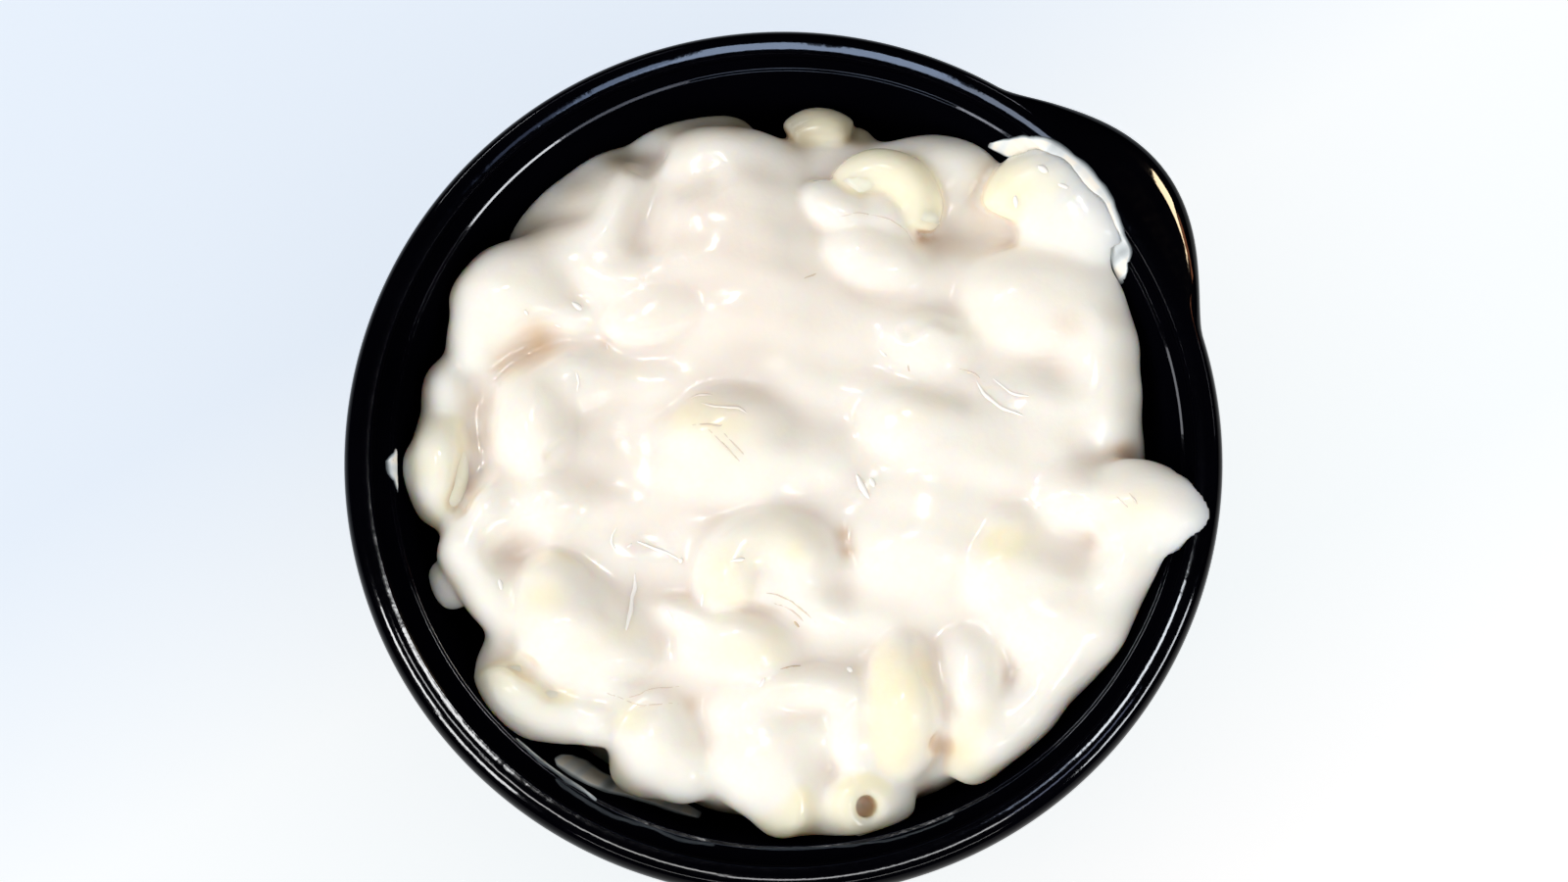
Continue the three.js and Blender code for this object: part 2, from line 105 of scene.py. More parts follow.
# Lights that the rim mirrors, in boxes overhead. Each shows on the rim from one direction to another. The two
# distances are from the place overhead where a level mirror at the bowl's middle would show the camera: the
# farther a light is from there, the farther out on the rim it shows. Then strength and colour.
RIM_LIGHT_HEIGHT = 950.0
RIM_LIGHT_SPAN = 20.0  # most degrees for one box
RIM_LIGHTS = [
    ("band_right", 44, 64, 82, 178, 50.0, (0.64, 0.76, 1.0)),
    ("band_middle", 64, 104, 74, 215, 72.0, (0.55, 0.70, 1.0)),
    ("band_left", 104, 120, 70, 172, 44.0, (0.50, 0.66, 1.0)),
    ("band_end", 120, 136, 84, 138, 11.0, (0.45, 0.58, 1.0)),
    ("inner_left", 204, 216, 30, 78, 215.0, (0.98, 0.99, 1.0)),
    ("inner_left_end", 216, 227, 46, 92, 190.0, (0.98, 0.99, 1.0)),
    ("outer_left", 201, 217, 268, 300, 190.0, (0.98, 0.99, 1.0)),
    ("outer_left_end", 217, 232, 294, 326, 170.0, (0.98, 0.99, 1.0)),
    ("middle_left", 206, 226, 172, 192, 92.0, (0.96, 0.98, 1.0)),
    ("middle_front", 226, 262, 196, 216, 84.0, (1.0, 1.0, 1.0)),
    ("middle_end", 262, 302, 214, 236, 84.0, (0.97, 0.98, 1.0)),
    ("middle_right", 302, 324, 204, 226, 30.0, (0.60, 0.68, 1.0)),
    ("inner_front", 302, 314, 84, 116, 40.0, (0.62, 0.74, 1.0)),
    ("inner_right", 314, 341, 88, 130, 190.0, (0.88, 0.93, 1.0)),
    ("outer_right", 313, 340, 316, 348, 130.0, (0.90, 0.94, 1.0)),
    ("lip_back", 104, 124, 384, 428, 22.0, (0.80, 0.84, 1.0)),
    ("lip_left", 124, 142, 384, 428, 150.0, (0.92, 0.95, 1.0)),
    ("lip_end", 57, 65, 384, 428, 60.0, (0.85, 0.88, 1.0)),
    ("lip_right", 4, 17, 384, 428, 34.0, (0.90, 0.92, 1.0)),
    ("lip_front", 242, 300, 384, 428, 80.0, (1.0, 1.0, 1.0)),
]

SKY_STRENGTH = 0.41
FLOOR_HALF = 3.0  # metres

# ---- the food ----
CELL = 0.43  # spacing of the grid in which the food's surface is found
FIELD_LOW = HEIGHT - 14.0
FIELD_HIGH = HEIGHT + 7.0
FIELD_HALF = 58.0
SMOOTHING = 0.8  # how far the thick sauce rounds everything
PASTA_RADIUS = 3.9
PASTA_BORE = 1.6
PASTA_BEND = 5.6
COAT = 0.8  # sauce on a piece
HOLLOW_WIDTH = 2.6  # size of the dips that get painted shade
CRISP = 0.8  # a shape with less blend than this keeps its edge
FILM_PARTS = 14  # faces across a film
FILM_STEP = 0.4  # degrees along it
THREAD_SIDES = 8
THREAD_STEP = 0.22
FAR = 50.0  # a distance farther than any that counts
BLEND_MARGIN = 1.5  # how far past its blend a shape is worked out

# Edge of the food seen from above: direction, distance from the axis.
HEAP_EDGE = [
    (0, 48.8), (18, 48.6), (30, 50.4), (45, 49.8), (54, 50.2), (61, 49.6), (75, 46.6), (92, 45.4),
    (106, 46.6), (126, 46.4), (142, 46.0), (156, 46.6), (178, 48.4), (189, 47.4), (197, 44.8), (206, 43.0),
    (215, 49.6), (222, 51.0), (227, 50.4), (231, 46.0), (238, 42.8), (246, 45.2), (262, 46.8), (272, 49.4),
    (285, 51.4), (291, 47.6), (310, 48.2), (322, 47.6), (333, 49.4), (345, 52.8),
]

# Level of the sauce between the pieces, from the rim crest: a dome, with broad rises and dips on it.
# x, y, half width, half depth, height at its middle
DOME_TOP = -3.7
DOME_EDGE = -7.6
SIDE_SLOPE = 0.12  # how much the heap widens as it goes down
SWELLS = [
    (-6, 28, 14, 16, 1.4), (26, 16, 16, 14, 1.0), (30, -14, 18, 18, 1.4), (-28, 27, 8, 6, 1.0),
    (-22, 2, 5, 9, -0.6), (-16, -14, 5, 8, -0.5), (25, 31, 8, 3, -1.8), (6, -9, 6, 3, -0.4),
    (-30, 37, 8, 5, -3.0),
]

# Masses that the sauce rounds over one or more pieces.
# x, y, top from the rim crest, half length, half width, half height, direction of the length, blend,
# and, where the top leans, by how much and which way down
LUMPS = [
    # back left: the broad plateau, its fold, the lump at the edge, the two ridges before it, the drape behind
    (-7.5, 33.4, -0.8, 12.5, 10.8, 7, 90, 4.0), (-3, 23, -2.0, 13, 9, 6, 0, 4.0),
    (-8.5, 42.2, -2.4, 8.6, 4.6, 6, 0, 1.6), (-21.6, 35.6, -2.5, 6.4, 3.6, 4.5, 70, 1.8),
    (-24.5, 30, -2.6, 6, 4, 5, 60, 2.4), (-30, 27.8, -3.0, 8.6, 5, 5, 10, 2.4),
    (-36.2, 22.4, -1.6, 8.6, 8.2, 7, 100, 2.0), (-41.2, 18, -3.2, 8, 4.6, 6, 84, 2.0),
    (-19, 25, -2.6, 8, 5, 4, 20, 4.0), (-28.6, 19.6, -3.0, 4, 2.4, 2.4, 10, 1.0),
    (-28.8, 10.4, -2.5, 9.6, 5.0, 5, 8, 1.8, 6, 270), (-16.6, 20.6, -1.6, 8.0, 4.8, 2.6, 20, 0.6, 8, 112),
    (-33.2, 4.8, -1.2, 8.6, 5.8, 6, 92, 1.4), (-45, 9.8, -4.6, 5.2, 4.4, 5, 90, 1.2),
    (-46, -0.8, -3.0, 6.8, 4.7, 5.5, 88, 0.9), (-50.8, -1.0, -5.2, 2.8, 2.0, 2.0, 90, 1.0),
    (-29, 38.4, -8.2, 11.5, 5.6, 4.4, 40, 2.0), (-12.8, 45.4, -8.0, 9.4, 4.8, 4, 8, 1.4),
    (-25, 37, -6.4, 6, 4, 4, 50, 2.4),
    # left
    (-39.5, -7, -2.8, 6, 5, 5, 80, 2.0), (-42.4, -11.2, -3.0, 5.4, 3.9, 5, 80, 1.6),
    (-40.4, -15.6, -3.4, 8, 4.3, 5, 118, 1.6), (-36.8, -19, -4.0, 6, 4, 4, 100, 1.6),
    (-31, -5.5, -2.4, 6, 4, 4, 30, 2.5), (-28.3, -22.3, -0.7, 8.4, 8.0, 7, 20, 1.0, 8, 50),
    (-23, -26.4, -1.6, 6, 3.6, 5, 0, 1.4), (-44.6, -16.2, -7.2, 3.5, 3.5, 3, 0, 0.4),
    (-37.4, -25, -7.4, 2.4, 2.4, 3, 0, 1.0), (-37.4, -32.6, -4.0, 5.8, 3.6, 5, 130, 1.0),
    (-29.6, -34.2, -3.4, 6.6, 3.8, 5, 174, 1.2), (-25.0, -35.0, -3.2, 3.6, 3.4, 4, 0, 1.2),
    (-17, -37.2, -2.8, 7.2, 5.4, 5, 90, 1.4), (-13.4, -41, -4.0, 5.2, 5.0, 4, 0, 1.6),
    (-24.5, -32.2, -3.4, 6, 3, 3, 170, 2.0),
    # middle
    (-6.6, 3.6, -0.6, 9.8, 6.6, 6, 0, 1.2, 9, 265), (-3, -1, -1.6, 13, 5.5, 5, 0, 3.0),
    (-5.8, -25.3, -1.6, 8.4, 4.4, 4.5, 172, 0.6, 8, 270), (-12.0, -21.7, -1.9, 4.8, 2.0, 2.4, 155, 1.0),
    (3.4, -19.6, -1.9, 6.0, 3.6, 4, 165, 1.6), (2.6, -15.6, -1.0, 5.4, 4.6, 4, 0, 1.8),
    (-1.8, -16.4, -1.5, 4.4, 4.0, 3.0, 20, 0.7), (-8.2, -18.8, -1.7, 3.8, 3.3, 3.2, 0, 0.7),
    # front
    (-2.0, -39.9, -1.8, 8.6, 8.4, 6, 90, 1.2), (3, -31, -1.2, 6.8, 3.0, 3.6, 5, 1.2, 10, 265),
    (2.4, -36.6, -2.6, 6, 3.6, 4, 0, 1.2), (16.2, -32.6, 0.1, 10.2, 5.6, 7, 92, 0.9, 8, 0),
    (10, -35, -1.6, 9, 4.4, 6, 96, 0.8, 18, 190), (26, -36.7, -2.2, 5.2, 5.0, 5, 0, 1.0),
    (24.6, -30, -1.4, 8, 5.2, 5, 90, 1.6), (31.9, -34.2, -2.0, 9, 4.2, 5, 48, 2.0),
    (10.6, -46.4, -4.6, 7.2, 5.2, 4.5, 8, 1.0), (-3.4, -33.5, -2.2, 6, 4, 4, 0, 2.0),
    # right
    (29, -12.8, -0.7, 7.8, 3.8, 4.2, 60, 1.6), (40.4, -22.0, -0.5, 8.4, 6.0, 5, 52, 2.4),
    (48.2, -7.2, 1.5, 8.4, 7.0, 5.5, 165, 1.4), (52.4, -7.8, 1.4, 4.6, 4.4, 2.2, 170, 1.6),
    (45.5, -15.2, -0.2, 8, 4.8, 6, 52, 2.0), (36.9, -27.0, -1.6, 8.4, 4.8, 6, 48, 2.0),
    (38, -5.4, -0.6, 6, 5.4, 4.5, 0, 2.4), (25, 0, -1.0, 12, 6.4, 5, 170, 3.0),
    (17.5, 4.2, -0.9, 9.6, 6.2, 6, 172, 0.7), (19, -10, -1.0, 10, 7, 5, 30, 3.0),
    (34, -19, -0.8, 10, 8, 5, 120, 3.0), (36, 6, -1.8, 10, 6, 5, 0, 4.0),
    # back right
    (19.5, 15.6, -1.2, 8, 5.2, 5, 0, 1.4), (34, 21.4, -0.4, 11.5, 8.2, 6, 0, 0.9),
    (42.6, 14, -1.6, 13.5, 5.8, 6, 92, 2.4), (12, 27.6, -0.6, 7.8, 5.6, 5.5, 165, 0.7, 6, 330),
    (21, 40.3, -3.8, 9.5, 6.0, 5.5, 4, 1.6), (42, 31.4, -0.6, 6, 5, 5, 60, 1.6),
    (36, 38.0, 0.4, 6.6, 6.6, 6.5, 0, 1.2), (41.0, 34.8, 0.5, 8.6, 4.2, 3.4, 130, 1.8),
    (38, 31.6, -1.4, 6, 4, 4, 10, 2.0), (8.4, 33.8, -1.3, 7.0, 4.0, 3.6, 154, 0.7),
    (13.2, 32.8, -1.7, 5.8, 4.2, 4, 140, 0.7), (9.8, 46.0, -8.8, 2.8, 2.0, 2.4, 0, 1.0),
]

# Grooves and pits pressed into the sauce: points from the rim crest, radius, blend.
GROOVES = [
    ([(-10.5, 38.6, -0.4), (-16.4, 37.6, -1.2), (-18.2, 34.5, -1.4), (-19, 30, -2.0)], 1.2, 3.2),
    ([(-19.4, 41, -4.6), (-18, 43, -6)], 1.4, 2.6),
    ([(-38.5, 12.6, -3.2), (-34.5, 15.0, -3.8), (-31.8, 16.3, -3.6)], 0.8, 3.2),
    ([(-32, 16.2, -4.0), (-28, 15.9, -3.2), (-24.2, 16.0, -2.4)], 0.4, 1.8),
    ([(-42, 11, -5.0), (-41.2, 4, -4.4), (-41.4, -1.5, -4.2), (-43.4, -6, -4.6)], 0.7, 3.2),
    ([(-27.6, 11.4, -1.8), (-27.2, 6, -2.0), (-28.2, 3, -2.4), (-31.4, 0, -2.4)], 0.4, 1.0),
    ([(-37.6, -13.4, -3.4), (-34, -11.4, -3.2)], 1.2, 2.6),
    ([(-23.4, -14, -1.4), (-22.8, -20.5, -0.6)], 0.8, 2.0),
    ([(-38.0, -26.8, -4.6), (-34.4, -28.2, -3.8), (-30.6, -31.4, -3.2), (-25, -32.4, -2.8),
      (-17, -33.2, -2.8)], 0.3, 2.2),
    ([(-12.5, -33.2, -2.8), (-12.2, -34.4, -3.4)], 0.7, 1.8),
    ([(38.4, 17.6, 1.6), (39.4, 17.8, 1.6)], 1.8, 3.0), ([(38.8, -12.6, -0.2), (39, -13, -0.2)], 1.8, 3.0),
    ([(16.6, 17, -1.2), (19.4, 19.8, -0.8), (22.9, 18, -1.2)], 0.6, 1.8),
    ([(7.9, -8.8, -1.9), (8.1, -11.4, -1.9), (8.9, -14.0, -1.8)], 0.7, 1.6),
    ([(19, -25, -0.9), (20, -29, -0.9), (22, -33.5, -1.6)], 0.4, 2.6),
    ([(20.4, -38.4, -3.4), (21.0, -38.9, -3.8)], 0.7, 1.8), ([(8.6, -33, -1.8), (5, -36, -2.4)], 0.4, 1.0),
]

# Painted brown shade in pits and creases, and places where thin sauce lets the warm pasta show.
# x, y, radius, strength
PIT_SHADE_SPOTS = [
    (-33, 16, 2.4, 0.72), (-36, 14, 2.0, 0.28), (-38, 12.8, 1.8, 0.24), (-41.4, 7.5, 2.2, 0.26),
    (-41.2, 2.5, 2.0, 0.22), (-42.4, -3.5, 1.8, 0.22), (-35.6, -12.2, 2.6, 0.20), (-12.2, -33, 1.2, 0.32),
    (20.5, -38.6, 1.2, 0.50), (22.6, -39.2, 1.6, 0.24), (8.0, -10.4, 1.1, 0.5), (8.6, -12.8, 1.0, 0.5),
    (19.6, -26.5, 1.8, 0.14), (38.4, 17.7, 2.2, 0.20), (27.5, 40.8, 2.4, 0.20), (27.3, 33.0, 2.0, 0.20),
    (22, 29.5, 3.4, 0.20), (11, -37, 1.6, 0.12), (10.4, 45.8, 1.6, 1.0), (2.2, 44.6, 1.8, 0.35),
    (-22, 41, 1.8, 0.26), (-29, 34.4, 2.6, 0.18), (-34.5, 32.4, 2.6, 0.18), (-24, 15.6, 0.9, 0.24),
    (-38.4, -27, 2.0, 0.20), (16.4, -40.6, 1.2, 0.10), (0.4, -31.6, 2.0, 0.10),
]
WARM_SPOTS = [
    (-8, 4.6, 4.6, 0.5), (29.6, -12.4, 3.2, 0.8), (-20, -35, 2.0, 0.9), (-7.6, -16.6, 3.4, 0.5),
    (1.6, -13.4, 2.0, 0.8), (10.9, -46.3, 2.4, 0.7), (15.4, -33, 3.2, 0.5), (24.2, -39, 2.2, 0.7),
    (-36, -29.5, 3.0, 0.6), (-33.5, -19, 3.4, 0.3), (-36.5, 12.8, 2.4, 0.5), (45.5, -8, 3.0, 0.3),
    (34.5, 36.5, 4.2, 0.3), (-45, -1, 3.6, 0.3), (27, 17.5, 3.0, 0.3),
]

# Painted shade: places where the level sauce is painted greyer, as if in shade.
SHADE_SPOTS = [
    (-8, 29, 9.0, 0.8), (-15, 33, 7.0, 0.4), (-4, 17, 9.0, 0.5), (-6.5, 9.9, 5.0, 0.7), (-20, 11, 7.0, 0.4),
    (-23.5, -2.6, 6.0, 0.6), (-17, -18, 4.5, 0.6), (-12, -9, 4.5, 0.4), (9, 21, 6.0, 0.4),
    (-14, -29, 4.0, 0.4),
]

# Low sauce at the back, thin over the black bowl, painted dark olive: partly the black plastic showing
# through, partly painted shade.
OLIVE_SPOTS = [
    (-34, 32.6, 3.4, 0.5), (-28, 38, 3.6, 0.3), (-22.4, 42.6, 2.8, 0.6), (-15, 47, 3.2, 0.55),
    (-10, 48, 2.8, 0.65), (-6, 47.6, 2.2, 0.85), (2.2, 44.6, 1.8, 0.5), (5, 47.6, 3.0, 0.3),
    (9.2, 46.4, 1.8, 0.8), (11.2, 45.6, 1.6, 0.8),
]

# Elbows of macaroni. at: middle of the piece. rise: its centreline there, from the rim crest.
# faces: the way its open side looks. tips: 0 lies flat, 90 arches with both ends down, -90 has both ends up.
# bend: degrees of arc. size: beside the usual one. blend: how far the sauce rounds it into its neighbours.
# coat: sauce over it. roundness: how far its cut ends are rounded.
ELBOWS = [
    dict(at=(15.6, 38.9), rise=-4.3, faces=243, tips=18, bend=160, size=0.84, coat=0.12, blend=0.7,
         roundness=1.8),
    dict(at=(35.6, 38.4), rise=-3.6, faces=268, tips=30, bend=150, size=0.9, coat=0.5, blend=1.2),
    dict(at=(5.2, -45.8), rise=-9.6, faces=270, tips=-80, bend=140, size=1.04, coat=0.3, blend=1.6),
    dict(at=(4.9, 46.6), rise=-9.6, faces=272, tips=20, bend=70, size=0.8, coat=0.2, blend=0.6),
    dict(at=(-3.4, -12.0), rise=-4.6, faces=290, tips=4, bend=140, size=1.0, coat=1.0, blend=1.2,
         roundness=2.4),
    dict(at=(-33.8, -32.6), rise=-7.6, faces=66, tips=15, bend=100, coat=0.9, blend=1.0),
    dict(at=(29.2, -13.0), rise=-4.9, faces=330, tips=80, bend=110, coat=0.4, blend=1.6),
    dict(at=(15.8, -33.0), rise=-4.2, faces=178, tips=75, bend=150, size=1.1, coat=0.3, blend=1.2),
    dict(at=(-18.4, -37.0), rise=-8.6, faces=175, tips=75, bend=110, coat=0.4, blend=1.8),
    dict(at=(-8.0, 4.6), rise=-4.7, faces=270, tips=60, bend=130, coat=0.4, blend=1.4),
    dict(at=(-17.0, 19.6), rise=-6.4, faces=288, tips=85, bend=110, coat=0.4, blend=1.6),
    dict(at=(-28.6, -22.6), rise=-5.0, faces=48, tips=30, bend=160, blend=1.6),
    dict(at=(-46.0, -0.8), rise=-7.4, faces=2, tips=75, bend=115, coat=0.5, blend=1.4),
    dict(at=(12.4, 27.8), rise=-6.0, faces=262, tips=70, bend=115, blend=1.4),
    dict(at=(25.6, -35.4), rise=-6.6, faces=185, tips=72, bend=110, coat=0.5, blend=1.2),
    dict(at=(48.6, -7.2), rise=-2.8, faces=262, tips=40, bend=100, coat=0.6, blend=1.6),
    dict(at=(-33.2, 5.0), rise=-6.4, faces=355, tips=80, bend=110, blend=1.6),
    dict(at=(-36.4, 23.0), rise=-6.0, faces=268, tips=60, bend=120, blend=1.6),
    dict(at=(18.0, 5.0), rise=-5.4, faces=268, tips=60, bend=130, blend=1.6),
    dict(at=(-5.4, -25.2), rise=-5.2, faces=258, tips=75, bend=110, blend=1.6),
]

# Thin films of sauce on the bowl. thickness, how well it covers, then rows along it:
# direction, and its two edges as the way down from the rim's highest line along the surface.
FILMS = [
    (0.36, 1.0, [(57.6, 7.4, 8.6), (56.2, 5.8, 8.4), (54.2, 3.4, 8.0), (52.4, 1.2, 7.0), (50.6, 0.0, 6.0),
                 (48.2, -0.4, 6.0), (43.6, -0.85, 6.0), (40.0, -0.6, 6.0), (37.6, -0.2, 6.0),
                 (35.5, 0.5, 6.5), (33.5, 1.1, 7.0), (31.5, 2.0, 7.5), (30.2, 3.2, 8.0), (28.8, 5.0, 8.4),
                 (27.4, 7.4, 8.6)]),
    (0.16, 0.85, [(185.4, 6.4, 8.6), (182.8, 4.6, 8.6), (180.8, 4.3, 8.6), (178.6, 6.2, 8.6)]),
    (0.24, 0.95, [(232.0, 14.0, 17.0), (233.6, 11.5, 21.0), (236.0, 11.3, 23.0), (239.0, 12.0, 22.0),
                  (242.0, 13.6, 23.0), (245.0, 16.0, 25.0), (249.0, 17.6, 26.0), (253.0, 17.6, 25.0),
                  (257.0, 18.0, 22.0)]),
    (0.08, 0.5, [(226.5, 6.1, 6.5), (230.0, 5.4, 8.0), (236.0, 5.4, 8.0), (242.5, 5.2, 5.4)]),
    (0.03, 0.06, [(233.5, 4.9, 5.3), (239.0, 4.3, 5.0), (245.0, 4.2, 4.8), (250.0, 4.7, 5.2),
                  (256.0, 4.3, 4.9), (262.0, 4.8, 5.2)]),
    (0.03, 0.045, [(264.0, 4.9, 5.3), (272.0, 5.0, 5.4), (279.0, 4.7, 5.1), (286.0, 4.2, 4.6),
                   (293.0, 4.1, 4.5), (297.0, 4.6, 5.0)]),
]

# Strings, wet creases and drips of sauce on the food: half width, how brown, then the way seen from above. The
# brown is partly orange cheese strings and partly painted shade along creases.
THREADS = [
    (0.15, 0.50, [(-12.2, 3.8), (-10.2, 4.0), (-8.4, 3.6), (-7.2, 4.6)]),
    (0.13, 0.45, [(-10.0, 3.2), (-7.9, 1.2), (-5.4, -1.4)]),
    (0.13, 0.45, [(-8.4, 3.2), (-6.6, 1.3), (-5.0, -0.4)]),
    (0.24, 0.22, [(-11.0, 7.0), (-8.6, 6.2), (-6.0, 6.2), (-4.6, 5.2)]),
    (0.22, 0.28, [(-12.6, 7.8), (-11.0, 8.4), (-9.5, 8.2)]),
    (0.13, 0.5, [(-3.4, -18.5), (-1.0, -18.7), (1.0, -19.6), (3.0, -21.2), (4.4, -22.5)]),
    (0.13, 0.45, [(-1.6, -19.6), (1.2, -20.8), (3.0, -22.6)]), (0.16, 0.7, [(1.2, -22.0), (2.2, -23.1)]),
    (0.26, 0.0, [(-22.2, -9.3), (-23.0, -11.4), (-22.4, -12.6)]),
    (0.18, 0.0, [(-21.0, -12.2), (-20.2, -11.4)]),
    (0.30, 0.0, [(-19.6, -11.2), (-17.4, -12.2), (-15.4, -12.9), (-13.7, -13.9)]),
    (0.36, 0.0, [(-14.0, -13.6), (-13.5, -14.0)]),
    (0.34, 0.0, [(-19.7, -15.6), (-19.9, -18.0), (-20.4, -21.0), (-20.9, -23.6)]),
    (0.30, 0.0, [(-37.9, -16.4), (-37.5, -18.0)]), (0.32, 0.0, [(-10.6, -18.6), (-10.7, -20.6)]),
    (0.30, 0.0, [(-7.0, -14.8), (-5.2, -14.2)]), (0.28, 0.0, [(-15.4, -20.6), (-14.6, -22.2)]),
    (0.24, 0.0, [(-3.2, -31.2), (-2.4, -29.8)]), (0.40, 0.0, [(8.5, -28.2), (9.0, -29.0)]),
    (0.14, 0.7, [(-0.6, -28.9), (1.4, -28.2), (2.2, -28.0)]),
    (0.30, 0.0, [(26.0, 10.4), (26.8, 8.6), (29.2, 6.4), (32.4, 5.2)]),
    (0.24, 0.0, [(28.0, 10.8), (30.6, 8.4), (33.4, 7.8)]),
    (0.16, 0.35, [(23.4, 12.0), (25.6, 11.4), (27.4, 9.8)]), (0.14, 0.55, [(2.7, 23.9), (4.4, 25.0)]),
    (0.13, 0.35, [(7.2, 32.4), (10.5, 33.1), (14.4, 32.2), (16.6, 30.9), (17.9, 28.6)]),
    (0.28, 0.0, [(13.0, 14.6), (13.9, 13.6)]), (0.13, 0.6, [(16.7, 12.4), (16.8, 11.6)]),
    (0.5, 0.0, [(9.8, -2.4), (10.4, -3.8), (11.4, -5.6)]), (0.36, 0.0, [(11.6, -2.8), (12.2, -4.2)]),
    (0.42, 0.0, [(34.2, 39.2), (35.6, 38.2)]), (0.36, 0.0, [(31.3, 35.4), (31.5, 33.8)]),
    (0.36, 0.0, [(37.0, 36.6), (38.4, 36.2)]), (0.34, 0.0, [(-28.6, 21.2), (-27.2, 20.2)]),
    (0.26, 0.0, [(-30.8, 18.2), (-29.8, 17.9)]), (0.26, 0.0, [(-34.9, 19.9), (-34.2, 19.1)]),
    (0.24, 0.0, [(-27.9, 11.6), (-27.3, 10.0), (-27.6, 8.6)]), (0.2, 0.2, [(-23.8, 15.9), (-23.6, 14.8)]),
    (0.12, 0.4, [(-24.0, -31.4), (-19.0, -33.4), (-13.6, -33.0)]),
    (0.12, 0.4, [(-22.0, -32.8), (-17.0, -31.0), (-12.0, -30.4)]),
    (0.13, 0.35, [(44.0, -6.0), (45.4, -7.6)]), (0.13, 0.35, [(45.6, -5.6), (46.8, -7.4)]),
]

# Cut ends whose hole shows: which elbow, which end.
OPEN_ENDS = [(2, 1)]


# ---- small helpers ----
def radians(angle):
    return math.radians(angle)


def mesh_object(name, vertices, faces, material):
    """A smooth mesh from millimetre vertices, riding on the one body."""
    mesh = bpy.data.meshes.new(name)
    mesh.from_pydata((np.asarray(vertices) * MM).tolist(), [], [tuple(face) for face in faces])
    mesh.update()
    mesh.polygons.foreach_set("use_smooth", [True] * len(mesh.polygons))
    obj = bpy.data.objects.new(name, mesh)
    bpy.context.collection.objects.link(obj)
    mesh.materials.append(material)
    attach(obj, "root")
    return obj


def point_values(obj, name, values):
    """A value for each vertex, which a material reads by its name."""
    attribute = obj.data.attributes.new(name, "FLOAT", "POINT")
    attribute.data.foreach_set("value", np.asarray(values, np.float32))


def smooth_step(value):
    value = np.clip(value, 0, 1)
    return value * value * (3 - 2 * value)


# ---- materials ----
class Shader:
    """A new material with its Principled shader, and short calls to add nodes."""

    def __init__(self, name):
        self.material = bpy.data.materials.new(name)
        self.material.use_nodes = True
        self.tree = self.material.node_tree
        self.shader = self.tree.nodes["Principled BSDF"]

    def set(self, **values):
        for name, value in values.items():
            self.shader.inputs[name.replace("_", " ")].default_value = value

    def node(self, kind, **settings):
        made = self.tree.nodes.new(kind)
        for name, value in settings.items():
            setattr(made, name, value)
        return made

    def link(self, source, target):
        self.tree.links.new(source, target)

    def noise(self, scale, detail=3.0):
        coordinates = self.node("ShaderNodeTexCoord")
        texture = self.node("ShaderNodeTexNoise")
        texture.inputs["Scale"].default_value = scale
        texture.inputs["Detail"].default_value = detail
        texture.inputs["Roughness"].default_value = 0.5
        self.link(coordinates.outputs["Object"], texture.inputs["Vector"])
        return texture.outputs["Fac"]

    def ramp(self, value, stops):
        made = self.node("ShaderNodeValToRGB")
        while len(made.color_ramp.elements) < len(stops):
            made.color_ramp.elements.new(0.5)
        for element, (place, colour) in zip(made.color_ramp.elements, stops):
            element.position = place
            element.color = (*colour, 1.0)
        self.link(value, made.inputs["Fac"])
        return made.outputs["Color"]

    def mix(self, share, first, second):
        made = self.node("ShaderNodeMix", data_type="RGBA")
        self.link(share, made.inputs["Factor"])
        for socket, value in ((made.inputs["A"], first), (made.inputs["B"], second)):
            if isinstance(value, tuple):
                socket.default_value = (*value, 1.0)
            else:
                self.link(value, socket)
        return made.outputs["Result"]

    def attribute(self, name):
        return self.node("ShaderNodeAttribute", attribute_name=name).outputs["Fac"]

    def rough(self, scale, detail, low, high):
        """Roughness between two values over a noise. Each value comes with its place in the noise."""
        stops = [(place, (value,) * 3) for place, value in (low, high)]
        self.link(self.ramp(self.noise(scale, detail), stops), self.shader.inputs["Roughness"])

    def bump(self, height, distance, strength):
        made = self.node("ShaderNodeBump")
        made.inputs["Strength"].default_value = strength
        made.inputs["Distance"].default_value = distance
        self.link(height, made.inputs["Height"])
        self.link(made.outputs["Normal"], self.shader.inputs["Normal"])


def black_plastic():
    made = Shader("black_bowl_plastic")
    made.set(IOR=1.49)
    stops = [(0.3, (0.0004, 0.0004, 0.0010)), (0.7, (0.0008, 0.0008, 0.0018))]
    made.link(made.ramp(made.noise(60.0), stops), made.shader.inputs["Base Color"])
    made.rough(900.0, 2.0, (0.3, 0.03), (0.75, 0.055))
    shine = made.ramp(made.attribute("shine"), [(0.0, (0, 0, 0)), (1.0, (RIM_SHINE,) * 3)])
    made.link(shine, made.shader.inputs["Specular IOR Level"])
    made.bump(made.noise(420.0, 3.0), 0.00002, 0.4)
    return made.material


def cheese_sauce():
    made = Shader("cheese_sauce")
    made.set(IOR=1.42, Subsurface_Weight=0.7, Subsurface_Scale=0.006)
    made.shader.inputs["Subsurface Radius"].default_value = (1.0, 0.75, 0.50)
    white = made.mix(made.noise(140.0, 3.0), (0.93, 0.895, 0.83), (0.94, 0.905, 0.84))
    tinted = made.mix(made.attribute("thin"), white, (0.93, 0.87, 0.68))
    # Painted shade: the broad dips (attribute hollow) are painted greyer and mauve.
    shaded = made.mix(made.attribute("hollow"), tinted, (0.86, 0.805, 0.74))
    # Painted shade in pits and creases: brown (attribute pit).
    pitted = made.mix(made.attribute("pit"), shaded, (0.66, 0.45, 0.25))
    # Darker and olive low in the bowl (attribute deep): painted shade, and partly thin sauce over the black
    # plastic.
    deep = made.mix(made.attribute("deep"), pitted, (0.50, 0.45, 0.31))
    made.link(deep, made.shader.inputs["Base Color"])
    made.rough(260.0, 3.0, (0.3, 0.13), (0.7, 0.22))
    made.bump(made.noise(700.0, 3.0), 0.00006, 0.6)
    return made.material


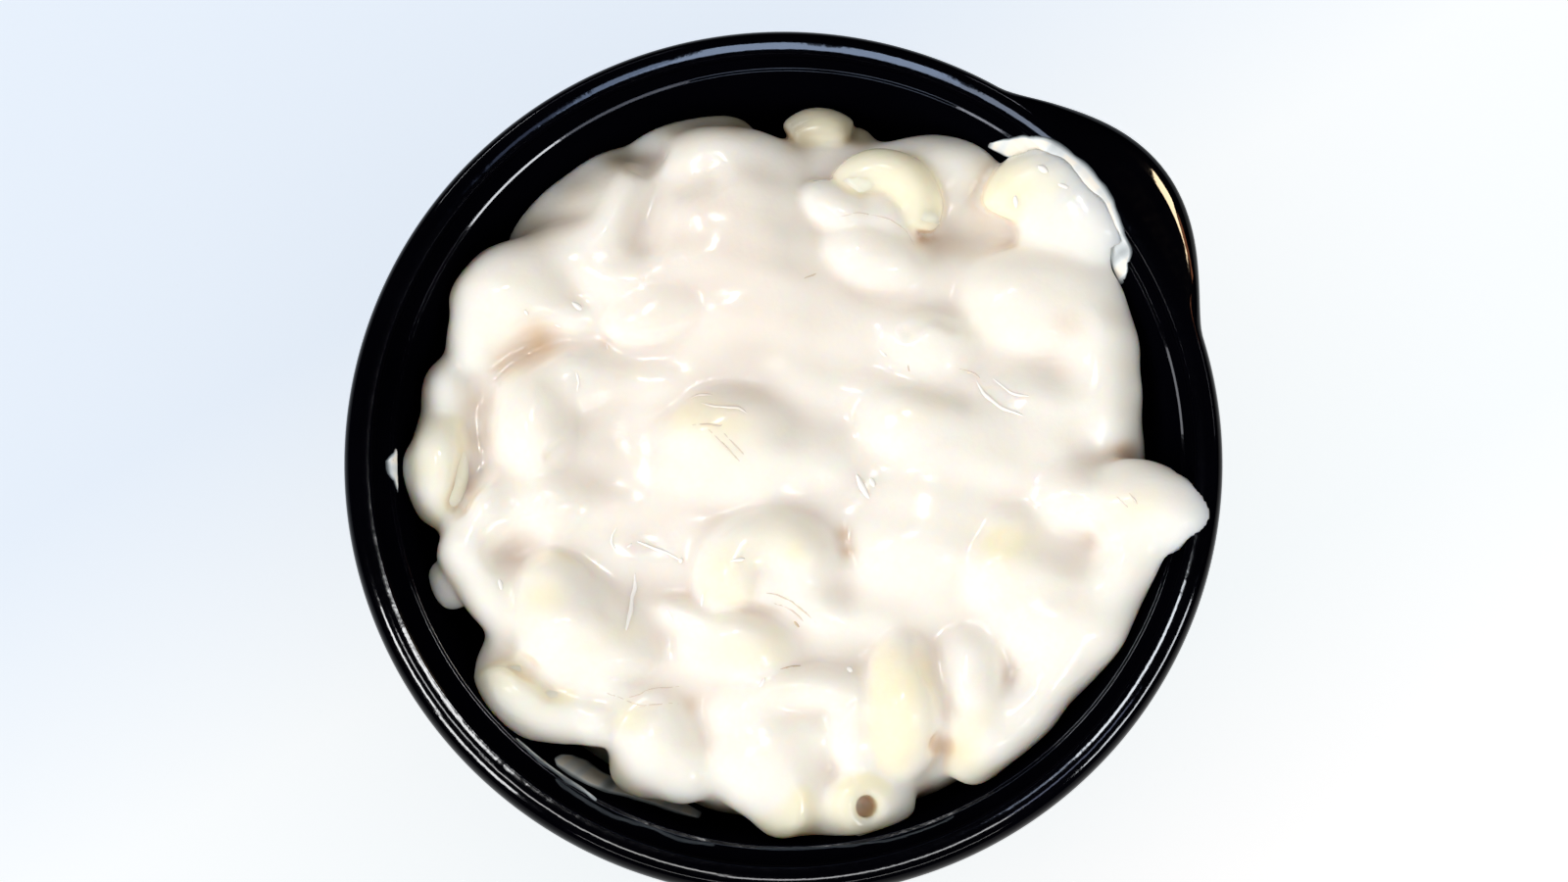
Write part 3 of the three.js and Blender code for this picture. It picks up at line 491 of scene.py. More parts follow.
def bare_pasta():
    made = Shader("bare_macaroni")
    made.set(IOR=1.42, Subsurface_Weight=0.4, Subsurface_Scale=0.004)
    made.shader.inputs["Subsurface Radius"].default_value = (1.0, 0.6, 0.3)
    colour = made.mix(made.noise(180.0, 4.0), (0.92, 0.85, 0.66), (0.93, 0.88, 0.72))
    made.link(colour, made.shader.inputs["Base Color"])
    made.rough(500.0, 3.0, (0.3, 0.18), (0.7, 0.30))
    made.bump(made.noise(900.0, 3.0), 0.00005, 0.6)
    return made.material


def thread_sauce():
    """Sauce too thin to let light far in, painted whiter than the sauce so that its wet creases show as
    highlights (a painted highlight beside the gloss that the wet lights give), brown for orange cheese strings
    and for painted shade along creases.
    """
    made = Shader("sauce_thread")
    made.set(IOR=1.42, Roughness=0.16)
    # Painted highlight: whiter than the sauce. Brown (attribute pit): orange strings, and painted shade along
    # creases.
    colour = made.mix(made.attribute("pit"), (0.97, 0.96, 0.93), (0.50, 0.32, 0.14))
    made.link(colour, made.shader.inputs["Base Color"])
    made.bump(made.noise(700.0, 3.0), 0.00005, 0.5)
    return made.material


def film_sauce():
    """Sauce so thin that the black plastic makes it bluish, creamy where it is thicker."""
    made = Shader("sauce_film")
    made.set(IOR=1.42)
    stops = [(0.0, (0.004, 0.006, 0.010)), (0.3, (0.16, 0.19, 0.21)), (0.7, (0.58, 0.64, 0.67))]
    stops += [(0.85, (0.76, 0.81, 0.83)), (1.0, (0.93, 0.90, 0.82))]
    made.link(made.ramp(made.attribute("cover"), stops), made.shader.inputs["Base Color"])
    made.rough(300.0, 3.0, (0.3, 0.12), (0.7, 0.2))
    made.bump(made.noise(600.0, 3.0), 0.00005, 0.5)
    return made.material


def floor_material():
    """Pale and partly lit from within, with painted light: cool at the back left and white at the front right,
    where the light falls.
    """
    made = Shader("pale_floor")
    place = made.node("ShaderNodeTexCoord")
    across = made.node("ShaderNodeVectorMath", operation="DOT_PRODUCT")
    centred = made.node("ShaderNodeMath", operation="ADD")
    made.link(place.outputs["Object"], across.inputs[0])
    across.inputs[1].default_value = (2.9, -4.5, 0)
    made.link(across.outputs["Value"], centred.inputs[0])
    centred.inputs[1].default_value = 0.5
    stops = [(0.2, (0.77, 0.85, 0.95)), (0.46, (0.93, 0.965, 0.985))]
    stops += [(0.74, (0.92, 0.965, 0.985)), (0.95, (1, 1, 1))]
    colour = made.ramp(centred.outputs[0], stops)
    made.link(colour, made.shader.inputs["Base Color"])
    made.link(colour, made.shader.inputs["Emission Color"])
    made.set(Roughness=0.9, Emission_Strength=0.80)
    return made.material


# ---- the bowl ----
def wall_radius(height):
    """Inside radius of the bowl's wall below the ledge."""
    height = np.asarray(height, float)
    share = (height - WALL_FOOT_HEIGHT) / (HEIGHT - 2 * LEDGE_DROP - WALL_FOOT_HEIGHT)
    slope = WALL_FOOT + (WALL_TOP - 0.2 - WALL_FOOT) * share
    floor = FOOT_RISE + WALL
    fillet = np.clip((height - floor) / (WALL_FOOT_HEIGHT - floor), 0, 1)
    curve = FLOOR_RADIUS + (WALL_FOOT - FLOOR_RADIUS) * np.sin(np.pi / 2 * fillet) ** 0.8
    return np.where(height >= WALL_FOOT_HEIGHT, slope, curve)


def arch(middle, half_width, half_height, start, end, steps, power=2.0):
    """Points of an ellipse, with a flatter top where its power is over 2."""
    points = []
    for angle in np.radians(np.linspace(start, end, steps + 1)):
        across, up = math.cos(angle), math.sin(angle)
        across = math.copysign(abs(across) ** (2 / power), across)
        up = math.copysign(abs(up) ** (2 / power), up)
        points.append((middle[0] + half_width * across, middle[1] + half_height * up))
    return points


def top_point(lean):
    """A point of the rim's nearly flat top, where it leans by an angle, outward over zero."""
    lean = radians(lean)
    return CREST + TOP_CURVE * math.sin(lean), HEIGHT - TOP_CURVE * (1 - math.cos(lean))


def inner_line(angle):
    """The bowl's inside in one direction, from the middle of the floor out and up to the rim's highest line.

    Each point is a radius, a height and how much of the plastic's gloss shows there.
    """
    ledge = HEIGHT - LEDGE_DROP
    lip = LEDGE + LEDGE_SHIFT * math.cos(radians(angle - LEDGE_TOWARD))
    floor = [(0.01, FOOT_RISE + WALL), (18, FOOT_RISE + WALL)]
    wall = [(float(wall_radius(z)), z) for z in np.linspace(FOOT_RISE + WALL, WALL_FOOT_HEIGHT, 7)]
    wall += [(float(wall_radius(z)), z) for z in np.linspace(WALL_FOOT_HEIGHT + 1, ledge - LEDGE_DROP, 12)]
    wall += [(lip - 0.42, ledge - 0.9), (lip - 0.22, ledge - 0.35), (lip - 0.13, ledge - 0.08)]
    wall += [(lip - 0.09, ledge - 0.01)]
    ridge = [(lip - 0.06 + 0.42 * step / 6, ledge - 0.05 * step / 6) for step in range(7)]
    shelf = [(lip + 0.40, ledge - 0.04), (BEAD_FOOT - 0.30, HEIGHT - BEAD_DROP - 0.16)]
    start, height = top_point(TOP_INNER)
    bend = [(BEAD_FOOT - 0.06, HEIGHT - BEAD_DROP + 0.1), (BEAD_FOOT, HEIGHT - BEAD_DROP + 0.5)]
    bend += arch((start, height - CORNER), start - BEAD_FOOT, CORNER, 178, 96, 8)
    top = [top_point(lean) for lean in np.linspace(TOP_INNER, 0, 10)]
    parts = ((floor, 0.0), (wall, 0.0), (ridge, 1.0), (shelf, 0.0), (bend, 0.05), (top, 1.0))
    return [(r, z, shine) for points, shine in parts for r, z in points]


def tab_reach(angle):
    """How far the rim's edge stands out beyond the round rim, in the direction of an angle."""
    share = (angle - TAB_MIDDLE) / TAB_HALF_ANGLE
    if abs(share) >= 1:
        return 0.0
    return RIM * TAB_REACH * (0.5 + 0.5 * math.cos(math.pi * share)) ** TAB_FULLNESS


def outer_line(angle):
    """The outside of the rim and the tab in one direction: its top, its side with the gloss, its underside."""
    skirt = HEIGHT - SKIRT_DROP
    reach = tab_reach(angle)
    edge = EDGE + reach
    top = [top_point(lean) for lean in np.linspace(0, TOP_OUTER, 10)[1:]]
    start, height = top[-1]
    plain = arch((start, skirt + 0.3), edge - start, height - skirt - 0.3, 86, 0, 16)
    share = float(smooth_step(reach / 2.5))
    shoulder = edge - TAB_SHOULDER * reach
    level = height - (shoulder - start) * math.tan(radians(TAB_SLOPE))
    slope = [(start + (shoulder - start) * step / 7, height + (level - height) * step / 7)
             for step in range(1, 7)]
    rounded = arch((shoulder, skirt + 0.3), edge - shoulder, level - skirt - 0.3, 90 - TAB_SLOPE, 0, 10)
    tab = slope + rounded
    shine = [0.9 - 0.8 * step / len(plain) for step in range(len(plain))]
    side = [(a + (c - a) * share, b + (d - b) * share, gloss + (1 - gloss) * share)
            for (a, b), (c, d), gloss in zip(plain, tab, shine)]
    low = [(edge - 0.1, skirt), (edge - WALL, skirt), (edge - WALL, skirt + 0.4)]
    hollow = (RIM - WALL - 0.1 + (shoulder - RIM) * share, HEIGHT - 1.5 + (level - HEIGHT + 0.7) * share)
    low += [hollow, (start - 0.1, HEIGHT - WALL - 0.12), (CREST, HEIGHT - WALL), (CREST - 0.7, HEIGHT - WALL)]
    low += [(BEAD_FOOT + WALL, HEIGHT - WALL - 0.3), (BEAD_FOOT + WALL, HEIGHT - BEAD_DROP - 0.4)]
    return top, side, low


def build_bowl(material):
    ledge = HEIGHT - LEDGE_DROP
    outside = [(LEDGE + WALL + 0.4, ledge - WALL), (WALL_TOP + WALL + 0.4, ledge - 2.2)]
    outside += [(float(wall_radius(z)) + WALL, z - 0.3) for z in np.linspace(ledge - 4, WALL_FOOT_HEIGHT, 9)]
    outside += [(41.7, 1.2), (40.6, 0.2), (40.0, 0.0), (36.2, 0.0), (35.6, 0.3), (35.2, 0.75)]
    outside += [(18, FOOT_RISE), (0.01, FOOT_RISE)]
    rings, shines = [], []
    for step in range(BOWL_SIDES):
        angle = 360 * step / BOWL_SIDES
        inside = inner_line(angle)
        top, side, low = outer_line(angle)
        profile = [(r, z) for r, z, _ in inside] + top + [(r, z) for r, z, _ in side] + low + outside
        turn = radians(angle)
        rings.append([(r * math.cos(turn), r * math.sin(turn), z) for r, z in profile])
        shines += [shine for _, _, shine in inside] + [1.0] * len(top) + [shine for _, _, shine in side]
        shines += [0.3] * (len(low) + len(outside))
    count = len(rings[0])
    vertices = [point for ring in rings for point in ring]
    faces = []
    for step in range(BOWL_SIDES):
        here, there = step * count, ((step + 1) % BOWL_SIDES) * count
        faces += [(here + i, there + i, there + i + 1, here + i + 1) for i in range(count - 1)]
    faces.append([step * count for step in range(BOWL_SIDES)][::-1])
    faces.append([step * count + count - 1 for step in range(BOWL_SIDES)])
    obj = mesh_object("bowl_shell", vertices, faces, material)
    edit = bmesh.new()
    edit.from_mesh(obj.data)
    bmesh.ops.recalc_face_normals(edit, faces=edit.faces)
    edit.to_mesh(obj.data)
    edit.free()
    point_values(obj, "shine", shines)
    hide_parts("bowl")
    return obj


# ---- thin films of sauce on the rim and the wall ----
def rim_place(angle, down):
    """A point of the bowl's inside and its normal, by the way down along it from the rim's highest line."""
    line = np.array([(r, z) for r, z, _ in inner_line(angle)] + outer_line(angle)[0])
    along = np.concatenate([[0], np.cumsum(np.hypot(*np.diff(line, axis=0).T))])
    crest = along[len(inner_line(angle)) - 1]
    spot = [np.interp(crest - down + shift, along, line[:, i]) for shift in (-0.15, 0, 0.15) for i in (0, 1)]
    way = np.array([spot[4] - spot[0], spot[5] - spot[1]])
    way /= np.linalg.norm(way)
    return spot[2], spot[3], -way[1], way[0]


def build_films(material):
    """Each film is a row of sections across the rim, thickest in its middle, with an uneven edge."""
    vertices, faces, cover = [], [], []
    for thick, amount, rows in FILMS:
        first = len(vertices)
        marks = np.array(rows, float)
        steps = int(abs(marks[-1, 0] - marks[0, 0]) / FILM_STEP) + 2
        for step in range(steps):
            share = step / (steps - 1)
            angle = marks[0, 0] + (marks[-1, 0] - marks[0, 0]) * share
            order = np.argsort(marks[:, 0])
            upper = np.interp(angle, marks[order, 0], marks[order, 1])
            lower = np.interp(angle, marks[order, 0], marks[order, 2])
            wave = float(ripple(np.float64(angle * 2.2), np.float64(upper), 0.0, 5.0, 11))
            upper += 0.10 * wave
            ends = min(1.0, 8 * share, 8 * (1 - share))
            for place in range(FILM_PARTS + 1):
                part = place / FILM_PARTS
                r, z, nr, nz = rim_place(angle, upper + (lower - upper) * part)
                crown = math.sqrt(max(0.0, 1 - abs(2 * part - 1) ** 3)) * ends
                height = thick * crown - 0.03 * (1 - crown)
                turn = radians(angle)
                r += nr * height
                vertices.append((r * math.cos(turn), r * math.sin(turn), z + nz * height))
                edge = min(1.0, (3.0 + 5.0 * amount ** 4) * part, 5.0 * (1 - part))
                cover.append(amount * edge * min(1.0, 3 * ends) * (1 + 0.2 * wave))
        for step in range(steps - 1):
            for place in range(FILM_PARTS):
                a = first + step * (FILM_PARTS + 1) + place
                b = a + FILM_PARTS + 1
                faces.append((a, a + 1, b + 1, b) if marks[-1, 0] > marks[0, 0] else (a, b, b + 1, a + 1))
    obj = mesh_object("sauce_film", vertices, faces, material)
    point_values(obj, "cover", np.clip(np.array(cover), 0, 1))
    return obj


# ---- the food's surface, as a distance field on a grid ----
class Field:
    """Signed distance, under zero inside, on a box grid of millimetre cells."""

    def __init__(self):
        count = int(2 * FIELD_HALF / CELL) + 1
        self.x = (np.arange(count) * CELL - FIELD_HALF).astype(np.float32)
        self.y = self.x.copy()
        self.z = np.arange(FIELD_LOW, FIELD_HIGH, CELL).astype(np.float32)
        self.values = np.full((count, count, len(self.z)), FAR, np.float32)

    def block(self, low, high):
        """The part of the grid in a box: its slices and its coordinates."""
        slices = []
        for axis, (line, a, b) in enumerate(zip((self.x, self.y, self.z), low, high)):
            first = int(np.clip(np.searchsorted(line, a), 0, len(line)))
            last = int(np.clip(np.searchsorted(line, b), first, len(line)))
            slices.append(slice(first, last))
        x = self.x[slices[0]][:, None, None]
        y = self.y[slices[1]][None, :, None]
        z = self.z[slices[2]][None, None, :]
        return tuple(slices), x, y, z

    def join(self, shape, blend):
        """Add a shape, rounded into what is there over the blend width."""
        low, high = shape.box(blend + BLEND_MARGIN)
        slices, x, y, z = self.block(low, high)
        other = shape.distance(x, y, z)
        self.values[slices] = smooth_min(self.values[slices], other, blend)

    def cut(self, shape, blend):
        """Take a shape away, its edge rounded over the blend width."""
        low, high = shape.box(blend + BLEND_MARGIN)
        slices, x, y, z = self.block(low, high)
        self.values[slices] = -smooth_min(-self.values[slices], shape.distance(x, y, z), blend)

    def soften(self, width):
        """Blur the field, so that the surface rounds everywhere."""
        reach = int(3 * width / CELL)
        weights = np.exp(-0.5 * (np.arange(-reach, reach + 1) * CELL / width) ** 2).astype(np.float32)
        weights /= weights.sum()
        for axis in range(3):
            padded = np.pad(self.values, [(reach, reach) if i == axis else (0, 0) for i in range(3)], "edge")
            count = self.values.shape[axis]
            total = 0
            for shift, weight in enumerate(weights):
                total = total + weight * np.take(padded, range(shift, shift + count), axis=axis)
            self.values = total


def smooth_min(a, b, width):
    if width <= 0:
        return np.minimum(a, b)
    h = np.maximum(width - np.abs(a - b), 0) / width
    return np.minimum(a, b) - h * h * width * 0.25


class Elbow:
    """A bent tube with rounded cut ends, laid by its middle, its open side and its tip."""

    def __init__(self, at, rise, faces, tips, bend, size=1.0, coat=COAT, blend=1.5, roundness=1.2):
        f, t = radians(faces), radians(tips)
        self.middle = np.array([at[0], at[1], HEIGHT + rise])
        self.along = np.array([-math.sin(f), math.cos(f), 0.0])
        self.inward = np.array([math.cos(f) * math.cos(t), math.sin(f) * math.cos(t), -math.sin(t)])
        self.side = np.cross(self.along, self.inward)
        self.half = radians(bend / 2)
        self.radius = PASTA_BEND * size
        self.pasta = PASTA_RADIUS * size
        self.bore = PASTA_BORE * size
        self.thick = self.pasta + coat
        self.blend = blend
        self.roundness = roundness
        self.centre = self.middle + self.inward * self.radius

    def point(self, angle):
        across, along = self.radius * math.cos(angle), self.radius * math.sin(angle)
        return self.centre - self.inward * across + self.along * along

    def tangent(self, angle):
        return self.along * math.cos(angle) + self.inward * math.sin(angle)

    def box(self, margin):
        points = np.array([self.point(a) for a in np.linspace(-self.half, self.half, 9)])
        reach = self.thick + margin
        return points.min(0) - reach, points.max(0) + reach

    def distance(self, x, y, z, thick=None):
        thick = self.thick if thick is None else thick
        dx, dy, dz = x - self.centre[0], y - self.centre[1], z - self.centre[2]
        u = dx * self.along[0] + dy * self.along[1] + dz * self.along[2]
        v = -(dx * self.inward[0] + dy * self.inward[1] + dz * self.inward[2])
        w = dx * self.side[0] + dy * self.side[1] + dz * self.side[2]
        angle = np.arctan2(u, v)
        turn = np.clip(angle, -self.half, self.half)
        cx, cy = self.radius * np.sin(turn), self.radius * np.cos(turn)
        tx, ty = np.cos(turn) * np.sign(angle), -np.sin(turn) * np.sign(angle)
        ox, oy = u - cx, v - cy
        beyond = np.where(np.abs(angle) > self.half, np.maximum(ox * tx + oy * ty, 0), 0)
        rx, ry = ox - tx * beyond, oy - ty * beyond
        across = np.sqrt(rx * rx + ry * ry + w * w)
        e = self.roundness
        side = across - thick
        end = np.sqrt(np.maximum(across - (thick - e), 0) ** 2 + beyond ** 2) - e
        return np.where(beyond > 0, end, side)


class Lump:
    """An ellipsoid given by its top, its half sizes, the direction of its length and the lean of its top."""

    def __init__(self, x, y, top, length, width, height, turn, blend, lean=0, toward=0):
        self.half = np.array([length, width, height], float)
        self.centre = np.array([x, y, HEIGHT + top - height])
        self.blend = blend
        hinge = Vector((-math.sin(radians(toward)), math.cos(radians(toward)), 0))
        place = Matrix.Rotation(radians(lean), 3, hinge) @ Matrix.Rotation(radians(turn), 3, "Z")
        self.axes = np.array(place.transposed())

    def box(self, margin):
        reach = max(self.half) + margin
        return self.centre - reach, self.centre + reach

    def distance(self, x, y, z):
        dx, dy, dz = x - self.centre[0], y - self.centre[1], z - self.centre[2]
        u, v, w = (dx * axis[0] + dy * axis[1] + dz * axis[2] for axis in self.axes)
        a, b, h = self.half
        k0 = np.sqrt((u / a) ** 2 + (v / b) ** 2 + (w / h) ** 2)
        k1 = np.sqrt((u / a ** 2) ** 2 + (v / b ** 2) ** 2 + (w / h ** 2) ** 2)
        return k0 * (k0 - 1.0) / np.maximum(k1, 1e-6)


def heap_edge(angle):
    """Distance of the food's edge from the axis, smooth between the given directions."""
    turn = np.mod(angle, 360)
    directions = np.array([d for d, _ in HEAP_EDGE] + [360.0])
    radii = np.array([r for _, r in HEAP_EDGE] + [HEAP_EDGE[0][1]])
    place = np.clip(np.searchsorted(directions, turn, side="right") - 1, 0, len(radii) - 2)
    share = (turn - directions[place]) / (directions[place + 1] - directions[place])
    ease = 0.5 - 0.5 * np.cos(np.pi * share)
    return radii[place] + (radii[place + 1] - radii[place]) * ease


def sauce_level(x, y):
    """Height of the sauce between the pieces."""
    edge = heap_edge(np.degrees(np.arctan2(y, x)))
    share = np.hypot(x, y) / edge
    level = DOME_TOP + (DOME_EDGE - DOME_TOP) * np.clip(share, 0, 1.2) ** 3
    for cx, cy, a, b, height in SWELLS:
        level = level + height * np.exp(-(((x - cx) / a) ** 2 + ((y - cy) / b) ** 2))
    return HEIGHT + level


def ripple(x, y, z, length, seed):
    """Smooth unevenness of about one, from a few seeded waves."""
    draw = np.random.default_rng(seed)
    total = 0
    for _ in range(9):
        way = draw.normal(size=3)
        way = way / np.linalg.norm(way) * 2 * math.pi / (length * draw.uniform(0.7, 1.5))
        total = total + np.sin(x * way[0] + y * way[1] + z * way[2] + draw.uniform(0, 6.3))
    return total / 3


def free_radius(z):
    """How far out the food may reach at a height: clear of the wall, the ledge and the rolled rim."""
    clear = 0.1
    ledge = HEIGHT - LEDGE_DROP + clear
    heights = [0, ledge - LEDGE_DROP, ledge, ledge + 0.5]
    radii = [36, WALL_TOP - clear - 0.2, LEDGE - clear, BEAD_FOOT - clear]
    heights += [HEIGHT - 0.9, HEIGHT - 0.3, HEIGHT + clear, HEIGHT + clear + 0.05]
    radii += [BEAD_FOOT - 0.1, BEAD_FOOT + 0.2, CREST, RIM]
    below = wall_radius(np.minimum(z, HEIGHT - 2 * LEDGE_DROP)) - clear
    return np.where(z < ledge - LEDGE_DROP, below, np.interp(z, heights, radii))


def hole_of(elbow, end):
    """The hole at one end of an elbow."""
    angle = elbow.half * end
    out = elbow.tangent(angle) * end
    return Rod(elbow.point(angle) + 3 * out, elbow.point(angle) - 0.8 * out, elbow.bore - 0.2)


def food_field(elbows, lumps):
    """The whole heap: the dome, the lumps and elbows, the grooves and the open ends, held inside the bowl."""
    field = Field()
    x, y = field.x[:, None], field.y[None, :]
    level = sauce_level(x, y)[:, :, None]
    z = field.z[None, None, :]
    radius = np.hypot(x, y)[:, :, None]
    edge = heap_edge(np.degrees(np.arctan2(y, x)))[:, :, None]
    top = (z - level) * 0.85
    side = radius - edge - np.maximum(HEIGHT + DOME_EDGE - z, 0) * SIDE_SLOPE
    field.values = (-smooth_min(-top, -side, 3.0)).astype(np.float32)
    soft = [shape for shape in lumps + elbows if shape.blend >= CRISP]
    crisp = [shape for shape in lumps + elbows if shape.blend < CRISP]
    for shape in soft:
        field.join(shape, shape.blend)
    field.soften(SMOOTHING)
    for shape in crisp:
        field.join(shape, shape.blend)
    uneven = 0.16 * ripple(field.x[:, None, None], field.y[None, :, None], z, 8.0, 3)
    field.values += uneven.astype(np.float32)
    for points, size, blend in GROOVES:
        marks = [(px, py, HEIGHT + pz) for px, py, pz in points]
        for start, finish in zip(marks, marks[1:]):
            field.cut(Rod(start, finish, size), blend)
    for number, end in OPEN_ENDS:
        field.cut(hole_of(elbows[number], end), 1.1)
    limit = (radius - free_radius(field.z)[None, None, :]).astype(np.float32)
    field.values = -smooth_min(-field.values, -limit, 0.8)
    return field


class Rod:
    """A straight rod with round ends."""

    def __init__(self, start, end, radius):
        self.start = np.array(start, float)
        self.end = np.array(end, float)
        self.radius = radius

    def box(self, margin):
        reach = self.radius + margin
        return np.minimum(self.start, self.end) - reach, np.maximum(self.start, self.end) + reach

    def distance(self, x, y, z):
        way = self.end - self.start
        length = way @ way
        dx, dy, dz = x - self.start[0], y - self.start[1], z - self.start[2]
        share = np.clip((dx * way[0] + dy * way[1] + dz * way[2]) / length, 0, 1)
        px, py, pz = dx - share * way[0], dy - share * way[1], dz - share * way[2]
        return np.sqrt(px * px + py * py + pz * pz) - self.radius


CORNERS = np.array([(i, j, k) for i in (0, 1) for j in (0, 1) for k in (0, 1)])
EDGES = [(a, b) for a in range(8) for b in range(a + 1, 8) if np.abs(CORNERS[a] - CORNERS[b]).sum() == 1]


def surface_net(field):
    """Vertices and quads of the field's zero surface, one vertex in each crossed cell."""
    values = field.values
    inside = values < 0
    total = np.zeros(tuple(n - 1 for n in values.shape), np.int8)
    for i, j, k in CORNERS:
        total += inside[i:i + total.shape[0], j:j + total.shape[1], k:k + total.shape[2]]
    cells = np.argwhere((total > 0) & (total < 8))
    corner_values = np.stack([values[tuple((cells + c).T)] for c in CORNERS], 1)
    sums = np.zeros((len(cells), 3))
    counts = np.zeros(len(cells))
    for a, b in EDGES:
        va, vb = corner_values[:, a], corner_values[:, b]
        crossed = (va < 0) != (vb < 0)
        share = np.where(crossed, va / np.where(crossed, va - vb, 1), 0)
        place = CORNERS[a] + share[:, None] * (CORNERS[b] - CORNERS[a])
        sums += place * crossed[:, None]
        counts += crossed
    local = cells + sums / counts[:, None]
    origin = np.array([field.x[0], field.y[0], field.z[0]])
    vertices = origin + local * CELL
    number = np.full(total.shape, -1, np.int64)
    number[tuple(cells.T)] = np.arange(len(cells))
    quads = []
    for axis in range(3):
        step = np.eye(3, dtype=int)[axis]
        one, two = np.eye(3, dtype=int)[(axis + 1) % 3], np.eye(3, dtype=int)[(axis + 2) % 3]
        shape = np.array(values.shape)
        first = inside[tuple(slice(0, shape[i] - step[i]) for i in range(3))]
        second = inside[tuple(slice(step[i], shape[i]) for i in range(3))]
        grid = np.argwhere(first != second)
        keep = (grid[:, (axis + 1) % 3] > 0) & (grid[:, (axis + 2) % 3] > 0)
        keep &= (grid[:, (axis + 1) % 3] < total.shape[(axis + 1) % 3])
        keep &= (grid[:, (axis + 2) % 3] < total.shape[(axis + 2) % 3])
        grid = grid[keep]
        around = [grid - one - two, grid - two, grid, grid - one]
        ring = np.stack([number[tuple(p.T)] for p in around], 1)
        outward = first[tuple(grid.T)]
        ring[~outward] = ring[~outward][:, ::-1]
        quads.append(ring[(ring >= 0).all(1)])
    return vertices, np.concatenate(quads)


def sample(field, points):
    """The field at points, between its grid's values."""
    origin = np.array([field.x[0], field.y[0], field.z[0]])
    place = (points - origin) / CELL
    limit = np.array(field.values.shape) - 1.001
    place = np.clip(place, 0, limit)
    base = place.astype(int)
    share = place - base
    total = 0
    for corner in CORNERS:
        weight = np.prod(np.where(corner, share, 1 - share), axis=1)
        total = total + weight * field.values[tuple((base + corner).T)]
    return total


def vertex_normals(vertices, quads):
    a, b, c, d = (vertices[quads[:, i]] for i in range(4))
    face = np.cross(c - a, d - b)
    normals = np.zeros_like(vertices)
    for i in range(4):
        np.add.at(normals, quads[:, i], face)
    return normals / np.maximum(np.linalg.norm(normals, axis=1, keepdims=True), 1e-9)


def boundary_loop(quads):
    """The longest open edge of the surface, in order."""
    edges = np.concatenate([quads[:, [i, (i + 1) % 4]] for i in range(4)])
    known = {(a, b) for a, b in edges.tolist()}
    following = {a: b for a, b in known if (b, a) not in known}
    loops = []
    while following:
        start, here = following.popitem()
        loop = [start, here]
        while here in following:
            here = following.pop(here)
            loop.append(here)
        loops.append(loop[:-1] if loop[0] == loop[-1] else loop)
    return max(loops, key=len)


def spots(vertices, table):
    """How strongly round soft spots, seen from above, mark each vertex."""
    total = 0
    for x, y, radius, strength in table:
        away = np.hypot(vertices[:, 0] - x, vertices[:, 1] - y) / radius
        total = total + strength * np.exp(-away ** 2)
    return total


def build_food(field, elbows, material):
    """The sauce over everything, with the values that its material reads. The field is blurred by this."""
    vertices, quads = surface_net(field)
    loop = boundary_loop(quads)
    normals = vertex_normals(vertices, quads)
    pasta = np.full(len(vertices), FAR)
    for shape in elbows:
        low, high = shape.box(3.0)
        near = np.all((vertices > low) & (vertices < high), axis=1)
        x, y, z = vertices[near].T
        pasta[near] = np.minimum(pasta[near], shape.distance(x, y, z, shape.pasta))
    thin = 1 - smooth_step((pasta - 0.05) / 1.1)
    # Painted shade: the more the surface is shut in around a vertex, the browner and darker it is painted; the
    # pit shade spots add painted brown shade in pits and creases.
    shut = np.zeros(len(vertices))
    for reach in (1.0, 2.0, 3.5, 5.0):
        shut += np.clip(reach - sample(field, vertices + normals * reach), 0, None) / reach
    pit = 0.7 * smooth_step((shut / 4 - 0.34) / 0.6) + spots(vertices, PIT_SHADE_SPOTS)
    thin = np.clip(thin + spots(vertices, WARM_SPOTS), 0, 1)
    # Painted shade: the lower the surface lies in the bowl, the darker and more olive it is painted, with the
    # olive spots added.
    deep = smooth_step((HEIGHT - 8.4 - vertices[:, 2]) / 5.0)
    deep = np.clip(deep + spots(vertices, OLIVE_SPOTS), 0, 1)
    # Painted shade: broad dips, found on the blurred field, and the shade spots are painted greyer and mauve.
    field.soften(HOLLOW_WIDTH)
    hollow = np.clip(smooth_step(0.12 - sample(field, vertices) / 1.1) + spots(vertices, SHADE_SPOTS), 0, 1.3)
    # the hidden sides and underside: the open edge is carried down the wall to a closed floor
    rim = vertices[loop]
    rings = [loop]
    points = [vertices]
    count = len(vertices)
    floor = FOOT_RISE + WALL + 0.3
    for height in (20.0, 12.0, 6.0, 3.2, floor):
        reach = float(wall_radius(height)) - 0.6
        if height == floor:
            reach = FLOOR_RADIUS - 0.8
        angle = np.arctan2(rim[:, 1], rim[:, 0])
        ring = np.stack([reach * np.cos(angle), reach * np.sin(angle), np.full(len(loop), height)], 1)
        points.append(ring)
        rings.append(list(range(count, count + len(loop))))
        count += len(loop)
    points.append(np.array([[0, 0, floor]]))
    faces = quads.tolist()
    for upper, lower in zip(rings, rings[1:]):
        total = len(upper)
        faces += [(upper[(i + 1) % total], upper[i], lower[i], lower[(i + 1) % total]) for i in range(total)]
    last = rings[-1]
    faces += [(last[(i + 1) % len(last)], last[i], count) for i in range(len(last))]
    everything = np.concatenate(points)
    obj = mesh_object("cheese_sauce", everything, faces, material)
    for name, values in (("thin", thin), ("pit", pit), ("deep", deep), ("hollow", hollow)):
        data = np.zeros(len(everything), np.float32)
        data[:len(values)] = values
        point_values(obj, name, data)
    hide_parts("mac_and_cheese")
    return obj


def surface_height(field, x, y):
    """How high the food's surface is at places seen from above."""
    heights = np.arange(field.z[1], field.z[-2], 0.1)
    columns = np.array([[(a, b, z) for z in heights] for a, b in zip(x, y)])
    inside = sample(field, columns.reshape(-1, 3)).reshape(len(x), -1) < 0
    return heights[len(heights) - 1 - np.argmax(inside[:, ::-1], axis=1)]


